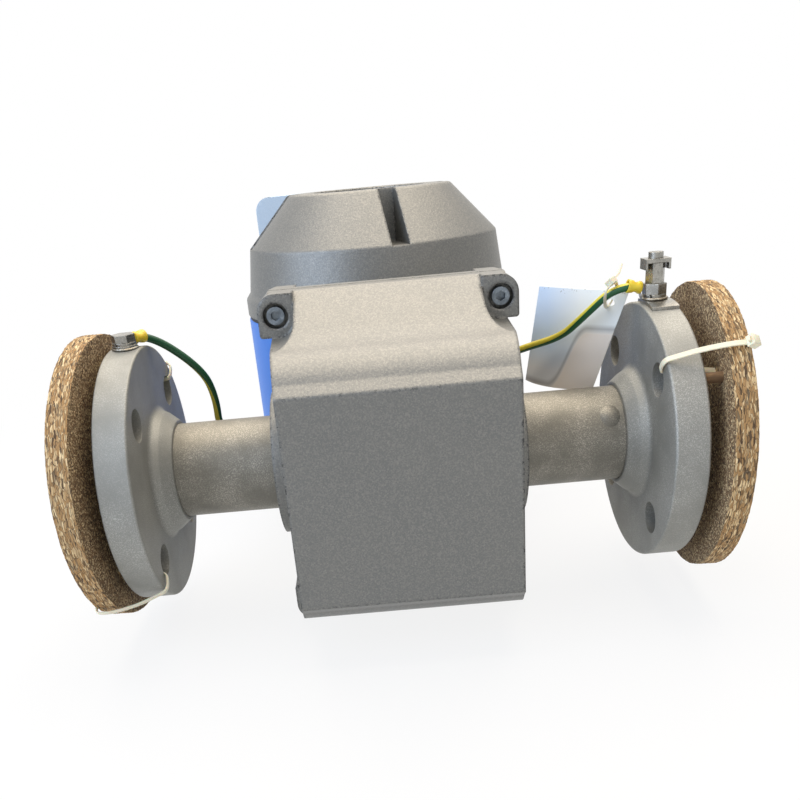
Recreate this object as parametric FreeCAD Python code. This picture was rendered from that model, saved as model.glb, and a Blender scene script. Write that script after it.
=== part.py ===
import FreeCAD, Part
import math
import os
from FreeCAD import Vector

# Flanged electromagnetic flow meter, lying on its sensor shell and on its rear cap.
# Millimetres. X runs along the pipe from inlet to outlet, Y from the flat shell face
# through the neck to the transmitter, Z is up. The pipe axis is Y = 0, Z = 0.
# Everything is built about the middle of the pipe and shifted once, when it is written,
# so that the frame's origin is the centre of the inlet flange's bolting face.

# Working lengths for cuts and clearances between pieces
reach = 400.0
over = 1.0
fit_gap = 0.3
thread_gap = 0.05
hole_gap = 0.2
round_room = 0.98

# Pipe, liner and flanges
face_span = 279.4
pipe_od = 48.3
pipe_wall = 3.68
liner_wall = 3.0
liner_gap = 0.1
hub_wall = 6.35
hub_top_d = pipe_od + 2 * hub_wall
hub_step = 2.2
hub_base_d = hub_top_d + 2 * hub_step
raised_rim = 3.8
raised_od = hub_base_d + 2 * raised_rim
raised_height = 1.6
flare_rim = 1.5
flare_od = raised_od - 2 * flare_rim
flare_thick = 1.6
bolt_hole_d = 15.9
bolt_hole_land = 4.75
bolt_circle = raised_od + bolt_hole_d + 2 * bolt_hole_land
bolt_count = 4
bolt_edge = 15.5
flange_od = bolt_circle + 2 * bolt_edge
flange_thick = 16.0
flange_bore_gap = 0.2
hub_ring_length = 4.5
hub_length = 10.0
hub_round = 3.5
hub_end_round = 0.8
hub_weld_throat = 1.6
rim_round = 1.0
weld_boss_round = 9.0
weld_boss_height = 1.4
weld_boss_from_middle = 105.0
weld_boss_angle = 38.0

# Sensor shells
face_depth = 72.5
face_half_width = 52.6
face_half_height = 50.4
side_draft = 4.4
parting_half_width = face_half_width + side_draft
strip_depth = 5.5
strip_rise = 4.4
brow_depth = 13.0
brow_rise = 13.0
brow_height = face_half_height + brow_rise
cove_depth = 40.0
cove_rise = 4.0
cove_height = brow_height + cove_rise
foot_rise = 18.6
parting_half_height = cove_height + foot_rise
parting_lip = 7.0
shell_wall = 5.0
cavity_cover = 6.4
cavity_half_height = cove_height - cavity_cover
seam = 0.8
edge_round = 1.6
profile_rounds = (3.0, 60.0, 28.0, 1.2, 1.2)
cavity_rounds = (0, 0, 6.0, 0, 0)
lug_proud = 4.6
lug_half_width = parting_half_width + lug_proud
lug_corner = 8.5
lug_height = 20.0
lug_foot = parting_half_height - lug_height
lug_thick = 15.0
lug_screw_x = lug_half_width - lug_corner
lug_screw_z = parting_half_height - lug_height / 2
pocket_corner = 9.0
pocket_inner_x = lug_screw_x - pocket_corner
head_sink = 0.8
counterbore_gap = 1.7
through_gap = 0.4
thread_depth = 13.0
collar_wall = 12.85
collar_d = pipe_od + 2 * collar_wall
collar_proud = 4.5
tube_seal_thick = 3.4
tube_seal_length = 4.0
seal_squeeze = 0.05
gasket_inset = 0.4

# Neck and transmitter housing
neck_rise = 3.5
neck_face = face_depth + neck_rise
neck_to_pot = 0.5
pot_d = 173.0
pot_wall = 6.5
pot_offset = -2.4
pot_axis_y = neck_face + neck_to_pot + pot_d / 2
pot_front = 52.0
pot_rear = -58.0
floor_height = -parting_half_height
cap_thread_d = pot_d - 2 * pot_wall
cap_thread_length = 14.0
partition_front = -10.0
partition_thick = 8.0
neck_plate_thick = 6.0
neck_overhang = 1.4
neck_half_width = face_half_width + neck_overhang
neck_half_height = 22.0
neck_screw_side = 7.5
neck_screw_x = neck_half_width - neck_screw_side
neck_screw_edge = 8.0
neck_screw_z = neck_half_height - neck_screw_edge
neck_bore_d = 30.0
neck_corner = 10.0
neck_thread_depth = 8.0
neck_grip = 6.0
neck_head_gap = 0.5
neck_head_room = 12.0
neck_seal_wall = 3.0
neck_seal_thick = 2.0
neck_block_half_width = 36.0
pad_half_width = 38.0
pad_half_height = 36.0
block_corner = 6.0
block_overlap = 22.0
housing_round = 1.2
thread_relief = 1.0
thread_shoulder = 2.0
feed_hole_d = 12.0
feed_hole_back = 50.0

# Front cap and window
window_d = 80.0
cap_overhang = 0.2
cap_flange_d = pot_d + 2 * cap_overhang
cap_flange_thick = 10.0
cap_seal_thick = 2.0
band_inset = 3.0
band_foot_d = cap_flange_d - 2 * band_inset
band_taper = 3.6
band_top_d = band_foot_d - 2 * band_taper
band_top = 94.5
cone_rim = 12.0
cone_top_d = window_d + 2 * cone_rim
cone_top = 124.5
cap_wall = 5.0
notch_count = 4
notch_width = 10.5
notch_wall = 5.5
notch_root_r = window_d / 2 + notch_wall
notch_turn = 11.0
window_lip = 4.0
window_lip_thick = 4.0
window_thick = 6.0
window_seal_thick = 1.5
window_ring_thick = 3.0
cap_round = 1.6
cone_edge_round = 3.0
flange_top_round = 2.5
flange_slope = 4.0
cap_inner_round = 3.0
cap_seal_inset = 0.7

# Rear cap
rear_flange_thick = 7.0
rear_shoulder_d = band_foot_d
rear_shoulder = 15.0
rear_foot_d = rear_shoulder_d - 2 * rear_shoulder
rear_slope = 2.5
rear_round = 2.0
rear_notch_depth = 9.0

# Terminal box on the back of the transmitter
box_left = -86.0
box_right = 50.0
pot_to_box = 2.5
box_front = pot_axis_y + pot_d / 2 + pot_to_box
box_depth = 30.0
box_bottom = -48.0
box_top = 123.0
box_corner = 10.0
box_wall = 4.0
lid_thick = 5.0
lid_seal_thick = 1.0
lid_boss_d = 11.0
lid_thread_depth = 12.0
lid_grip = 14.0
lid_inset = 0.6
gland_spacing = 44.0
gland_middle_z = 20.0
gland_thread_d = 20.0
gland_flats = 24.0
gland_hex_thick = 5.0
gland_neck_length = 9.0
gland_nut_length = 17.0
gland_cable_d = 11.0
gland_passage_d = 12.0
gland_spigot_d = 16.0
gland_spigot_length = 11.0
gland_dome_length = 5.0
gland_dome_step = 3.0
gland_seal_length = 2.0

# Electronics
carrier_gap = 4.0
carrier_d = cap_thread_d - 2 * (thread_shoulder + carrier_gap)
carrier_plate_front = 12.0
plate_thick = 2.0
board_front = 34.0
board_thick = 1.6
board_inset = 6.0
board_d = carrier_d - 2 * board_inset
post_d = 6.0
post_x = 24.0
post_y = 15.0
display_front = 98.0
display_width = 58.0
display_height = 42.0
display_thick = 10.0
screen_width = 46.0
screen_height = 22.0
terminal_width = 70.0
terminal_height = 22.0
terminal_depth = 16.0
terminal_ways = 8
terminal_hole_d = 5.0
terminal_hole_offset = 4.0
terminal_mouth = 6.0
screen_offset = 5.0
screen_depth = 2.0
screen_gap = 0.1
screen_thick = 1.6
key_d = 6.0
key_height = 1.0
key_pitch = 14.0
key_row = 7.0
board_parts = (
    (-50.0, -34.0, -14.0, 14.0, 9.0),
    (34.0, 52.0, -20.0, 16.0, 12.0),
    (-16.0, 16.0, -44.0, -26.0, 7.0),
    (-14.0, 14.0, 26.0, 46.0, 5.0),
)

# Magnet system and electrodes
coil_od = 58.0
coil_id = 20.0
coil_height = 16.0
pole_shoe_thick = 3.0
pole_shoe_half_length = 27.0
yoke_half_width = 22.0
yoke_thick = 2.5
electrode_d = 6.0
electrode_head_d = 12.0
electrode_length = 18.0
electrode_nut_thick = 3.0
shoe_half_width = 16.0

# Screws
m5_head_d = 8.5
m5_head_height = 5.0
m5_d = 5.0
m5_hex = 4.0
m4_head_d = 7.0
m4_head_height = 2.6
m4_d = 4.0
m4_hex = 2.5
socket_part = 0.6

# Earth terminals
earth_d = 6.0
earth_hex = 10.0
earth_head_height = 3.8
earth_depth = 11.0
earth_washer_d = 12.0
lug_ring_d = 13.0
lug_sheet = 1.0
lug_reach = 6.4
tongue_width = 4.4
tongue_start = 4.2
spring_washer_d = 11.4
spring_washer_thick = 1.4
spring_gap = 1.0
spring_gap_lean = 20.0
spring_gap_turn = -120.0
crimp_d = 6.6
crimp_length = 7.0
crimp_bore_part = 0.8
wire_d = 4.0
arc_share = 0.45
saddle_front = -15.0
saddle_back = 7.0
saddle_inward = 5.5
saddle_outward = 7.5
saddle_thick = 1.5
washer_thick = 1.0
nut_height = 5.0
post_flats = 8.0
post_height = 9.6
clamp_width = 12.0
clamp_length = 9.0
clamp_thick = 2.0
clamp_screw_d = 7.0
clamp_screw_height = 2.8
clamp_screw_length = 8.0
clamp_lip = 3.0
clamp_lip_thick = 1.0
clamp_slot = 1.0
clamp_slot_depth = 1.4

# Seats and barrels of the earth lugs on the shell: Y and Z of the eye, barrel way, rise
shell_lug_pad = 2.0
shell_lug_root = 4.0
shell_screw_grip = 5.5
shell_lug_lift = 0.5
inlet_seat = (44.0, -30.0)
inlet_seat_way = (0.0, 1.0)
inlet_seat_rise = 0.9
outlet_seat = (54.6, 28.6)
outlet_seat_way = (-0.8, 0.6)
outlet_seat_rise = 1.15

# Barrels of the earth lugs on the flanges: way in X and Y, lift and rise
inlet_lug_way = (0.5, 0.87)
inlet_lug_lift = 0.8
inlet_lug_rise = -0.05
outlet_lug_lift = 2.4
outlet_lug_rise = 0.2

# Corners of the wire routes: distance in from the flange, Y and Z; straight lengths at the ends
inlet_route = ((22.2, 26.0, 46.6), (26.0, 32.0, 29.5), (23.9, 38.0, 8.0))
inlet_route_ends = (5.0, 11.0)
outlet_route = ((24.4, 13.0, 57.0), (31.9, 24.5, 46.6))
outlet_route_ends = (5.0, 9.4)

# Chipboard protection discs
disc_overhang = 7.5
disc_d = flange_od + 2 * disc_overhang
disc_thick = 10.0
disc_tie_hole_d = 8.0
inlet_disc_gap = 0.3
inlet_disc_tilt = 2.7
outlet_disc_gap = 6.4
outlet_disc_tilt = 3.5
peg_d = 5.0
peg_edge = 5.1
peg_turn = 142.0
peg_sunk = 4.0
inlet_tie_turns = (45.0, 225.0)
outlet_tie_turns = (135.0, 315.0)

# Hang tag: points of its top and bottom edges as distance in from the flange and Y, and its hole
tag_top = ((37.8, 50.0), (21.1, 27.0), (2.5, 6.0))
tag_top_height = 69.8
tag_bottom = ((46.0, 49.5), (31.0, 22.3))
tag_bottom_height = 19.5
tag_foot_inward = 17.6
tag_thick = 0.5
tag_hole_d = 3.0
tag_hole_inward = 9.4
tag_hole_height = 64.1

X = Vector(1, 0, 0)
Y = Vector(0, 1, 0)
Z = Vector(0, 0, 1)
ORIGIN = Vector(0, 0, 0)
half_span = face_span / 2
bolting_face = half_span - raised_height
flange_inner = bolting_face - flange_thick
pipe_r = pipe_od / 2
frame_shift = Vector(bolting_face, 0, 0)
rim_middle = bolting_face - flange_thick / 2
crimp_depth = crimp_length * crimp_bore_part
pot_centre = Vector(pot_offset, pot_axis_y, 0)
NODES = {}


# Small helpers

def keep(name, shape):
    """Keeps a finished piece under its node name."""
    NODES[name] = shape


def rod(diameter, length, base, along):
    """A solid cylinder from its base point along a direction."""
    return Part.makeCylinder(diameter / 2, length, base, along)


def sleeve(outer_d, inner_d, length, base, along):
    """A plain tube from its base point along a direction."""
    return rod(outer_d, length, base, along).cut(rod(inner_d, length, base, along))


def block(x0, x1, y0, y1, z0, z1):
    """A box between two corners."""
    return Part.makeBox(x1 - x0, y1 - y0, z1 - z0, Vector(x0, y0, z0))


def rounded_wire(corners):
    """A closed wire through corners given as (point, radius), each rounded by a tangent arc.

    Rounds that meet on a short side are both made smaller until they fit on it.
    """
    count = len(corners)
    half_angles = []
    setbacks = []
    for i, (point, radius) in enumerate(corners):
        half_angle = (corners[i - 1][0] - point).getAngle(corners[(i + 1) % count][0] - point) / 2
        half_angles.append(half_angle)
        setbacks.append(radius / math.tan(half_angle) if radius else 0)
    shares = [1.0] * count
    for i, (point, radius) in enumerate(corners):
        following = (i + 1) % count
        wanted = setbacks[i] + setbacks[following]
        side = (corners[following][0] - point).Length * round_room
        if wanted > side:
            shares[i] = min(shares[i], side / wanted)
            shares[following] = min(shares[following], side / wanted)
    stretches = []
    for i, (point, wanted_radius) in enumerate(corners):
        radius = wanted_radius * shares[i]
        if radius == 0:
            stretches.append((point, None, point))
            continue
        to_before = (corners[i - 1][0] - point).normalize()
        to_after = (corners[(i + 1) % count][0] - point).normalize()
        half_angle = half_angles[i]
        setback = setbacks[i] * shares[i]
        centre_way = (to_before + to_after).normalize()
        start = point + to_before * setback
        end = point + to_after * setback
        middle = point + centre_way * (radius / math.sin(half_angle) - radius)
        stretches.append((start, middle, end))
    edges = []
    for i, (start, middle, end) in enumerate(stretches):
        if middle is not None:
            edges.append(Part.Arc(start, middle, end).toShape())
        following = stretches[(i + 1) % count][0]
        if (following - end).Length > 1e-6:
            edges.append(Part.LineSegment(end, following).toShape())
    return Part.Wire(edges)


def prism(corners, way):
    """The solid that a rounded outline sweeps along a vector."""
    return Part.Face(rounded_wire(corners)).extrude(way)


def turned(profile, centre, along, out):
    """A solid of revolution from corners given as (along, out, radius) about a centre."""
    corners = [(centre + along * a + out * r, fillet) for a, r, fillet in profile]
    return Part.Face(rounded_wire(corners)).revolve(centre, along, 360)


def hexagon(flats, length, base, along, across):
    """A hexagonal prism with one corner towards the across direction."""
    side = along.cross(across)
    corner_r = flats / math.sqrt(3)
    points = []
    for i in range(6):
        angle = math.radians(60 * i)
        points.append((base + across * (corner_r * math.cos(angle)) + side * (corner_r * math.sin(angle)), 0))
    return prism(points, along * length)


def socket_screw(base, along, across, grip, head_d, head_height, shank_d, socket_flats):
    """A socket head screw: base is under the head, along points from the head into the work."""
    head = rod(head_d, head_height, base, -along)
    socket = hexagon(socket_flats, head_height * socket_part, base - along * head_height, along, across)
    shank = rod(shank_d, grip, base, along)
    return head.cut(socket).fuse(shank)


def mirrored_x(shape):
    """The same shape on the other side of the pipe's middle."""
    return shape.mirror(ORIGIN, X)


def group(shapes):
    """Several separate solids as one compound."""
    return Part.makeCompound(shapes)


def corner_signs():
    """The four corners of the shells as pairs of signs."""
    return [(sx, sz) for sx in (-1, 1) for sz in (-1, 1)]


# Pipe run

def make_pipe_run():
    """Measuring tube, its liner and the two flanges."""
    tube = sleeve(pipe_od, pipe_od - 2 * pipe_wall, face_span, -X * half_span, X)
    angle = math.radians(weld_boss_angle)
    outward = Vector(0, -math.cos(angle), math.sin(angle))
    boss_middle = X * weld_boss_from_middle + outward * (pipe_r + weld_boss_height - weld_boss_round)
    boss = Part.makeSphere(weld_boss_round, boss_middle)
    boss = boss.cut(rod(pipe_od - pipe_wall, face_span, -X * half_span, X))
    keep("measuring_tube", tube.fuse(boss).removeSplitter())

    liner_od = pipe_od - 2 * pipe_wall - 2 * liner_gap
    bore_d = liner_od - 2 * liner_wall
    flare_face = half_span + flare_thick
    liner = rod(liner_od, face_span, -X * half_span, X)
    for way in (-1, 1):
        liner = liner.fuse(rod(flare_od, flare_thick, X * (way * half_span), X * way))
    liner = liner.cut(rod(bore_d, 2 * flare_face, -X * flare_face, X))
    keep("tube_liner", liner.removeSplitter())

    bore_r = pipe_r + flange_bore_gap
    profile = [
        (half_span, bore_r, 0),
        (half_span, raised_od / 2, 0),
        (bolting_face, raised_od / 2, 0),
        (bolting_face, flange_od / 2, rim_round),
        (flange_inner, flange_od / 2, rim_round),
        (flange_inner, hub_base_d / 2, hub_round),
        (flange_inner - hub_ring_length, hub_top_d / 2, hub_round),
        (flange_inner - hub_length, bore_r + hub_weld_throat, hub_end_round),
        (flange_inner - hub_length, bore_r, 0),
    ]
    flange = turned(profile, ORIGIN, X, Z)
    circle_r = bolt_circle / 2
    for i in range(bolt_count):
        turn = math.radians(360 / bolt_count * (i + 0.5))
        centre = Vector(flange_inner - over, circle_r * math.cos(turn), circle_r * math.sin(turn))
        flange = flange.cut(rod(bolt_hole_d, flange_thick + 2 * over, centre, X))
    crown = Vector(rim_middle, 0, flange_od / 2 + over)
    tapped = rod(earth_d + 2 * thread_gap, earth_depth + over, crown, -Z)
    flange = flange.cut(tapped)
    keep("flange_outlet", flange)
    keep("flange_inlet", mirrored_x(flange))
    return bore_d


# Sensor shells

def shell_profile(half_parting, half_cove, half_brow, half_strip, half_face, depths, radii):
    """The shell's closed outline in the YZ plane, the same above and below the pipe."""
    lip, cove, brow, strip, face = depths
    upper = [
        (Vector(0, -seam / 2, half_parting), 0),
        (Vector(0, -lip, half_parting), radii[0]),
        (Vector(0, -cove, half_cove), radii[1]),
        (Vector(0, -brow, half_brow), radii[2]),
        (Vector(0, -strip, half_strip), radii[3]),
        (Vector(0, -face, half_face), radii[4]),
    ]
    lower = [(Vector(p.x, p.y, -p.z), r) for p, r in reversed(upper)]
    return upper + lower


def side_prism(half_face, half_parting, face):
    """The tapering block that gives the shell's side walls their draft."""
    outline = [
        (Vector(-half_face, -face, -2 * face), 0),
        (Vector(half_face, -face, -2 * face), 0),
        (Vector(half_parting, 0, -2 * face), 0),
        (Vector(-half_parting, 0, -2 * face), 0),
    ]
    return prism(outline, Z * (4 * face))


def lug_block(sx, sz):
    """One corner lug of a shell, seen from the front, with its outer corner rounded."""
    outline = [
        (Vector(sx * pocket_inner_x, -lug_thick, sz * lug_foot), 0),
        (Vector(sx * lug_half_width, -lug_thick, sz * lug_foot), edge_round),
        (Vector(sx * lug_half_width, -lug_thick, sz * parting_half_height), lug_corner),
        (Vector(sx * pocket_inner_x, -lug_thick, sz * parting_half_height), 0),
    ]
    return prism(outline, Y * (lug_thick - seam / 2))


def screw_pocket(sx, sz):
    """The space cut out of the slope over one lug, with a round inner corner."""
    outline = [
        (Vector(sx * pocket_inner_x, -face_depth - over, sz * (lug_foot - fit_gap)), pocket_corner),
        (Vector(sx * reach, -face_depth - over, sz * (lug_foot - fit_gap)), 0),
        (Vector(sx * reach, -face_depth - over, sz * reach), 0),
        (Vector(sx * pocket_inner_x, -face_depth - over, sz * reach), 0),
    ]
    return prism(outline, Y * (face_depth + over - lug_thick))


def plain_shell(pockets):
    """One cast half shell on the front side of the parting plane, hollow and with lugs."""
    strip = face_depth - strip_depth
    brow = face_depth - brow_depth
    outer = shell_profile(
        parting_half_height, cove_height, brow_height, face_half_height + strip_rise, face_half_height,
        (parting_lip, cove_depth, brow, strip, face_depth), profile_rounds)
    body = Part.Face(rounded_wire(outer)).extrude(X * (4 * parting_half_width))
    body.translate(X * (-2 * parting_half_width))
    body = body.common(side_prism(face_half_width, parting_half_width, face_depth))
    body = body.common(block(-lug_half_width, lug_half_width, -face_depth, -seam / 2, -reach, reach))
    if pockets:
        for sx, sz in corner_signs():
            body = body.cut(screw_pocket(sx, sz))
    for sx, sz in corner_signs():
        body = body.fuse(lug_block(sx, sz))
    collar_face = parting_half_width + collar_proud
    collar = rod(collar_d, 2 * collar_face, -X * collar_face, X)
    body = body.fuse(collar.common(block(-reach, reach, -reach, -seam / 2, -reach, reach)))
    inner = shell_profile(
        cavity_half_height, cavity_half_height, brow_height - 2 * shell_wall, face_half_height - shell_wall,
        face_half_height - shell_wall - over,
        (parting_lip, cove_depth, brow, strip, face_depth - shell_wall), cavity_rounds)
    cavity = Part.Face(rounded_wire(inner)).extrude(X * (4 * parting_half_width))
    cavity.translate(X * (-2 * parting_half_width))
    walls = side_prism(face_half_width - shell_wall, parting_half_width - shell_wall, face_depth)
    cavity = cavity.common(walls)
    body = body.cut(cavity)
    body = body.cut(rod(pipe_od + 2 * fit_gap, 2 * reach, -X * reach, X))
    for way in (-1, 1):
        seat = rod(pipe_od + 2 * tube_seal_thick, tube_seal_length + over,
                   X * way * (collar_face + over), -X * way)
        body = body.cut(seat)
    return body


def make_shells():
    """Front shell with the flat face, back shell with the neck foot, their gasket and screws."""
    front = plain_shell(pockets=True)
    back = plain_shell(pockets=False).mirror(ORIGIN, Y)
    screws = []
    head_seat = m5_head_height + head_sink - lug_thick
    grip = thread_depth - head_seat
    for sx, sz in corner_signs():
        at = Vector(sx * lug_screw_x, 0, sz * lug_screw_z)
        sunk = m5_head_height + head_sink + over
        front = front.cut(rod(m5_head_d + 2 * counterbore_gap, sunk, at + Y * head_seat, -Y))
        front = front.cut(rod(m5_d + 2 * through_gap, lug_thick + over, at - Y * lug_thick, Y))
        back = back.cut(rod(m5_d + 2 * thread_gap, cove_depth + over, at, Y))
        screws.append(socket_screw(at + Y * head_seat, Y, Z, grip, m5_head_d, m5_head_height, m5_d, m5_hex))
    foot = rounded_plate(neck_half_width, neck_half_height, face_depth - over, neck_face, neck_corner)
    back = back.fuse(foot)
    back = back.cut(rod(neck_bore_d, neck_face / 2, Vector(0, neck_face + over, 0), -Y))
    for sx, sz in corner_signs():
        at = Vector(sx * neck_screw_x, neck_face, sz * neck_screw_z)
        back = back.cut(rod(m5_d + 2 * thread_gap, neck_thread_depth + over, at + Y * over, -Y))
    keep("shell_front", front.removeSplitter())
    keep("shell_back", back.removeSplitter())
    keep("shell_gasket", parting_gasket())
    keep("shell_screws", group(screws))
    seals = []
    for way in (-1, 1):
        start = X * way * (parting_half_width + collar_proud)
        seals.append(sleeve(pipe_od + 2 * (tube_seal_thick - seal_squeeze), pipe_od + 2 * seal_squeeze,
                            tube_seal_length, start, -X * way))
    keep("tube_seals", group(seals))


def rounded_plate(half_x, half_z, y0, y1, corner):
    """A flat plate across Y with rounded corners."""
    outline = [
        (Vector(-half_x, y0, -half_z), corner),
        (Vector(half_x, y0, -half_z), corner),
        (Vector(half_x, y0, half_z), corner),
        (Vector(-half_x, y0, half_z), corner),
    ]
    return prism(outline, Y * (y1 - y0))


def parting_gasket():
    """The thin gasket between the shells, with their outline and the cavity left open."""
    wide = lug_half_width - gasket_inset
    high = parting_half_height - gasket_inset
    side = parting_half_width - gasket_inset
    upper = [
        (Vector(-side, -seam / 2, lug_foot), 0),
        (Vector(-wide, -seam / 2, lug_foot), 0),
        (Vector(-wide, -seam / 2, high), lug_corner),
        (Vector(wide, -seam / 2, high), lug_corner),
        (Vector(wide, -seam / 2, lug_foot), 0),
        (Vector(side, -seam / 2, lug_foot), 0),
    ]
    lower = [(Vector(p.x, p.y, -p.z), r) for p, r in reversed(upper)]
    sheet = prism(upper + lower, Y * seam)
    hole_x = parting_half_width - shell_wall
    sheet = sheet.cut(block(-hole_x, hole_x, -over, over, -cavity_half_height, cavity_half_height))
    for sx, sz in corner_signs():
        screw_line = Vector(sx * lug_screw_x, -over, sz * lug_screw_z)
        sheet = sheet.cut(rod(m5_d + 2 * through_gap, 2 * over, screw_line, Y))
    gap_z = pipe_r + tube_seal_thick
    return sheet.cut(block(-reach, reach, -over, over, -gap_z, gap_z))


# Magnet system inside the shells

def make_magnets(bore_d):
    """Two field coils with pole shoes, the yoke around the tube and the two electrodes."""
    coil_seat = pipe_r + fit_gap + pole_shoe_thick
    shoe_foot = -X * pole_shoe_half_length
    shoe_ring = sleeve(2 * coil_seat, pipe_od + 2 * fit_gap, 2 * pole_shoe_half_length, shoe_foot, X)
    shoes = []
    coils = []
    core_length = coil_height + fit_gap
    for way in (-1, 1):
        window = block(-pole_shoe_half_length, pole_shoe_half_length, 0, 2 * coil_seat,
                       -shoe_half_width, shoe_half_width)
        if way < 0:
            window = window.mirror(ORIGIN, Y)
        shoes.append(shoe_ring.common(window))
        base = Y * way * (coil_seat + fit_gap)
        coils.append(sleeve(coil_od, coil_id, coil_height, base, Y * way))
    outer = coil_seat + fit_gap + core_length
    yoke = block(-yoke_half_width, yoke_half_width, -outer - yoke_thick, outer + yoke_thick,
                 -coil_od / 2 - fit_gap - yoke_thick, coil_od / 2 + fit_gap + yoke_thick)
    yoke = yoke.cut(block(-reach, reach, -outer, outer, -coil_od / 2 - fit_gap, coil_od / 2 + fit_gap))
    yoke = yoke.cut(rod(electrode_head_d + 2 * over, 2 * reach, -Z * reach, Z))
    cores = rod(coil_id - 2 * fit_gap, 2 * outer, -Y * outer, Y)
    cores = cores.cut(rod(2 * coil_seat, 2 * reach, -X * reach, X))
    keep("pole_shoes", group(shoes))
    keep("coil_front", coils[0])
    keep("coil_back", coils[1])
    keep("magnet_yoke", yoke.fuse(cores))
    electrodes = []
    tube = NODES["measuring_tube"]
    liner = NODES["tube_liner"]
    for way in (-1, 1):
        tip = Z * way * (bore_d / 2)
        hole = rod(electrode_d + 2 * thread_gap, electrode_length + over, tip - Z * way * over, Z * way)
        tube = tube.cut(hole)
        liner = liner.cut(hole)
        stem = rod(electrode_d, electrode_length, tip, Z * way)
        nut_foot = Z * way * (pipe_r + fit_gap)
        nut = rod(electrode_head_d, electrode_nut_thick, nut_foot, Z * way)
        electrodes.append(stem.fuse(nut))
    keep("measuring_tube", tube)
    keep("tube_liner", liner)
    keep("electrodes", group(electrodes))


# Transmitter housing, its two caps and the window

def make_housing():
    """The round cast housing with a partition, a neck foot and a pad for the terminal box."""
    r = pot_d / 2
    thread_r = cap_thread_d / 2
    bore_r = thread_r - thread_shoulder
    partition_rear = partition_front - partition_thick
    profile = [
        (pot_rear, thread_r, 0),
        (pot_rear, r, housing_round),
        (pot_front, r, housing_round),
        (pot_front, thread_r, 0),
        (pot_front - cap_thread_length - thread_relief, thread_r, 0),
        (pot_front - cap_thread_length - thread_relief, bore_r, 0),
        (partition_front, bore_r, 0),
        (partition_front, 0, 0),
        (partition_rear, 0, 0),
        (partition_rear, bore_r, 0),
        (pot_rear + cap_thread_length + thread_relief, bore_r, 0),
        (pot_rear + cap_thread_length + thread_relief, thread_r, 0),
    ]
    pot = turned(profile, pot_centre, Z, X)
    inside = rod(2 * bore_r, 2 * reach, pot_centre - Z * reach, Z)
    plate_back = neck_face + neck_plate_thick
    plate = rounded_plate(neck_half_width, neck_half_height, neck_face, plate_back, neck_corner)
    web = rounded_plate(neck_block_half_width, neck_half_height, neck_face, pot_axis_y - r + block_overlap,
                        block_corner)
    pad_front = pot_axis_y + r - block_overlap
    pad = rounded_plate(pad_half_width, pad_half_height, pad_front, box_front, block_corner)
    pot = pot.fuse(plate.fuse(web).fuse(pad).cut(inside))
    neck_reach = pot_axis_y - r - neck_face + block_overlap
    pot = pot.cut(rod(neck_bore_d, neck_reach, Vector(0, neck_face - over, 0), Y))
    pad_reach = box_front - pad_front
    pot = pot.cut(rod(neck_bore_d, pad_reach, Vector(0, box_front + over, 0), -Y))
    feed = pot_centre + Vector(0, feed_hole_back, partition_front + over)
    pot = pot.cut(rod(feed_hole_d, partition_thick + 2 * over, feed, -Z))
    screws = []
    for sx, sz in corner_signs():
        at = Vector(sx * neck_screw_x, plate_back, sz * neck_screw_z)
        pot = pot.cut(rod(m5_d + 2 * through_gap, neck_plate_thick + over, at, -Y))
        pot = pot.cut(rod(m5_head_d + 2 * neck_head_gap, neck_head_room, at, Y))
        grip = neck_plate_thick + neck_grip
        screws.append(socket_screw(at, -Y, Z, grip, m5_head_d, m5_head_height, m5_d, m5_hex))
    keep("neck_screws", group(screws))
    seal_id = neck_bore_d + 2 * block_corner
    seal_foot = Vector(0, neck_face - neck_seal_thick / 2, 0)
    seal = sleeve(seal_id + 2 * neck_seal_wall, seal_id, neck_seal_thick, seal_foot, Y)
    keep("transmitter_housing", pot.removeSplitter().cut(seal))
    keep("shell_back", NODES["shell_back"].cut(seal))
    keep("neck_seal", seal)


def cap_seal(name, z, thick):
    """A flat gasket ring between a cap's flange and the housing."""
    outer = pot_d - 2 * cap_seal_inset
    inner = cap_thread_d + 2 * cap_seal_inset
    keep(name, sleeve(outer, inner, thick, pot_centre + Z * z, Z))


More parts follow.
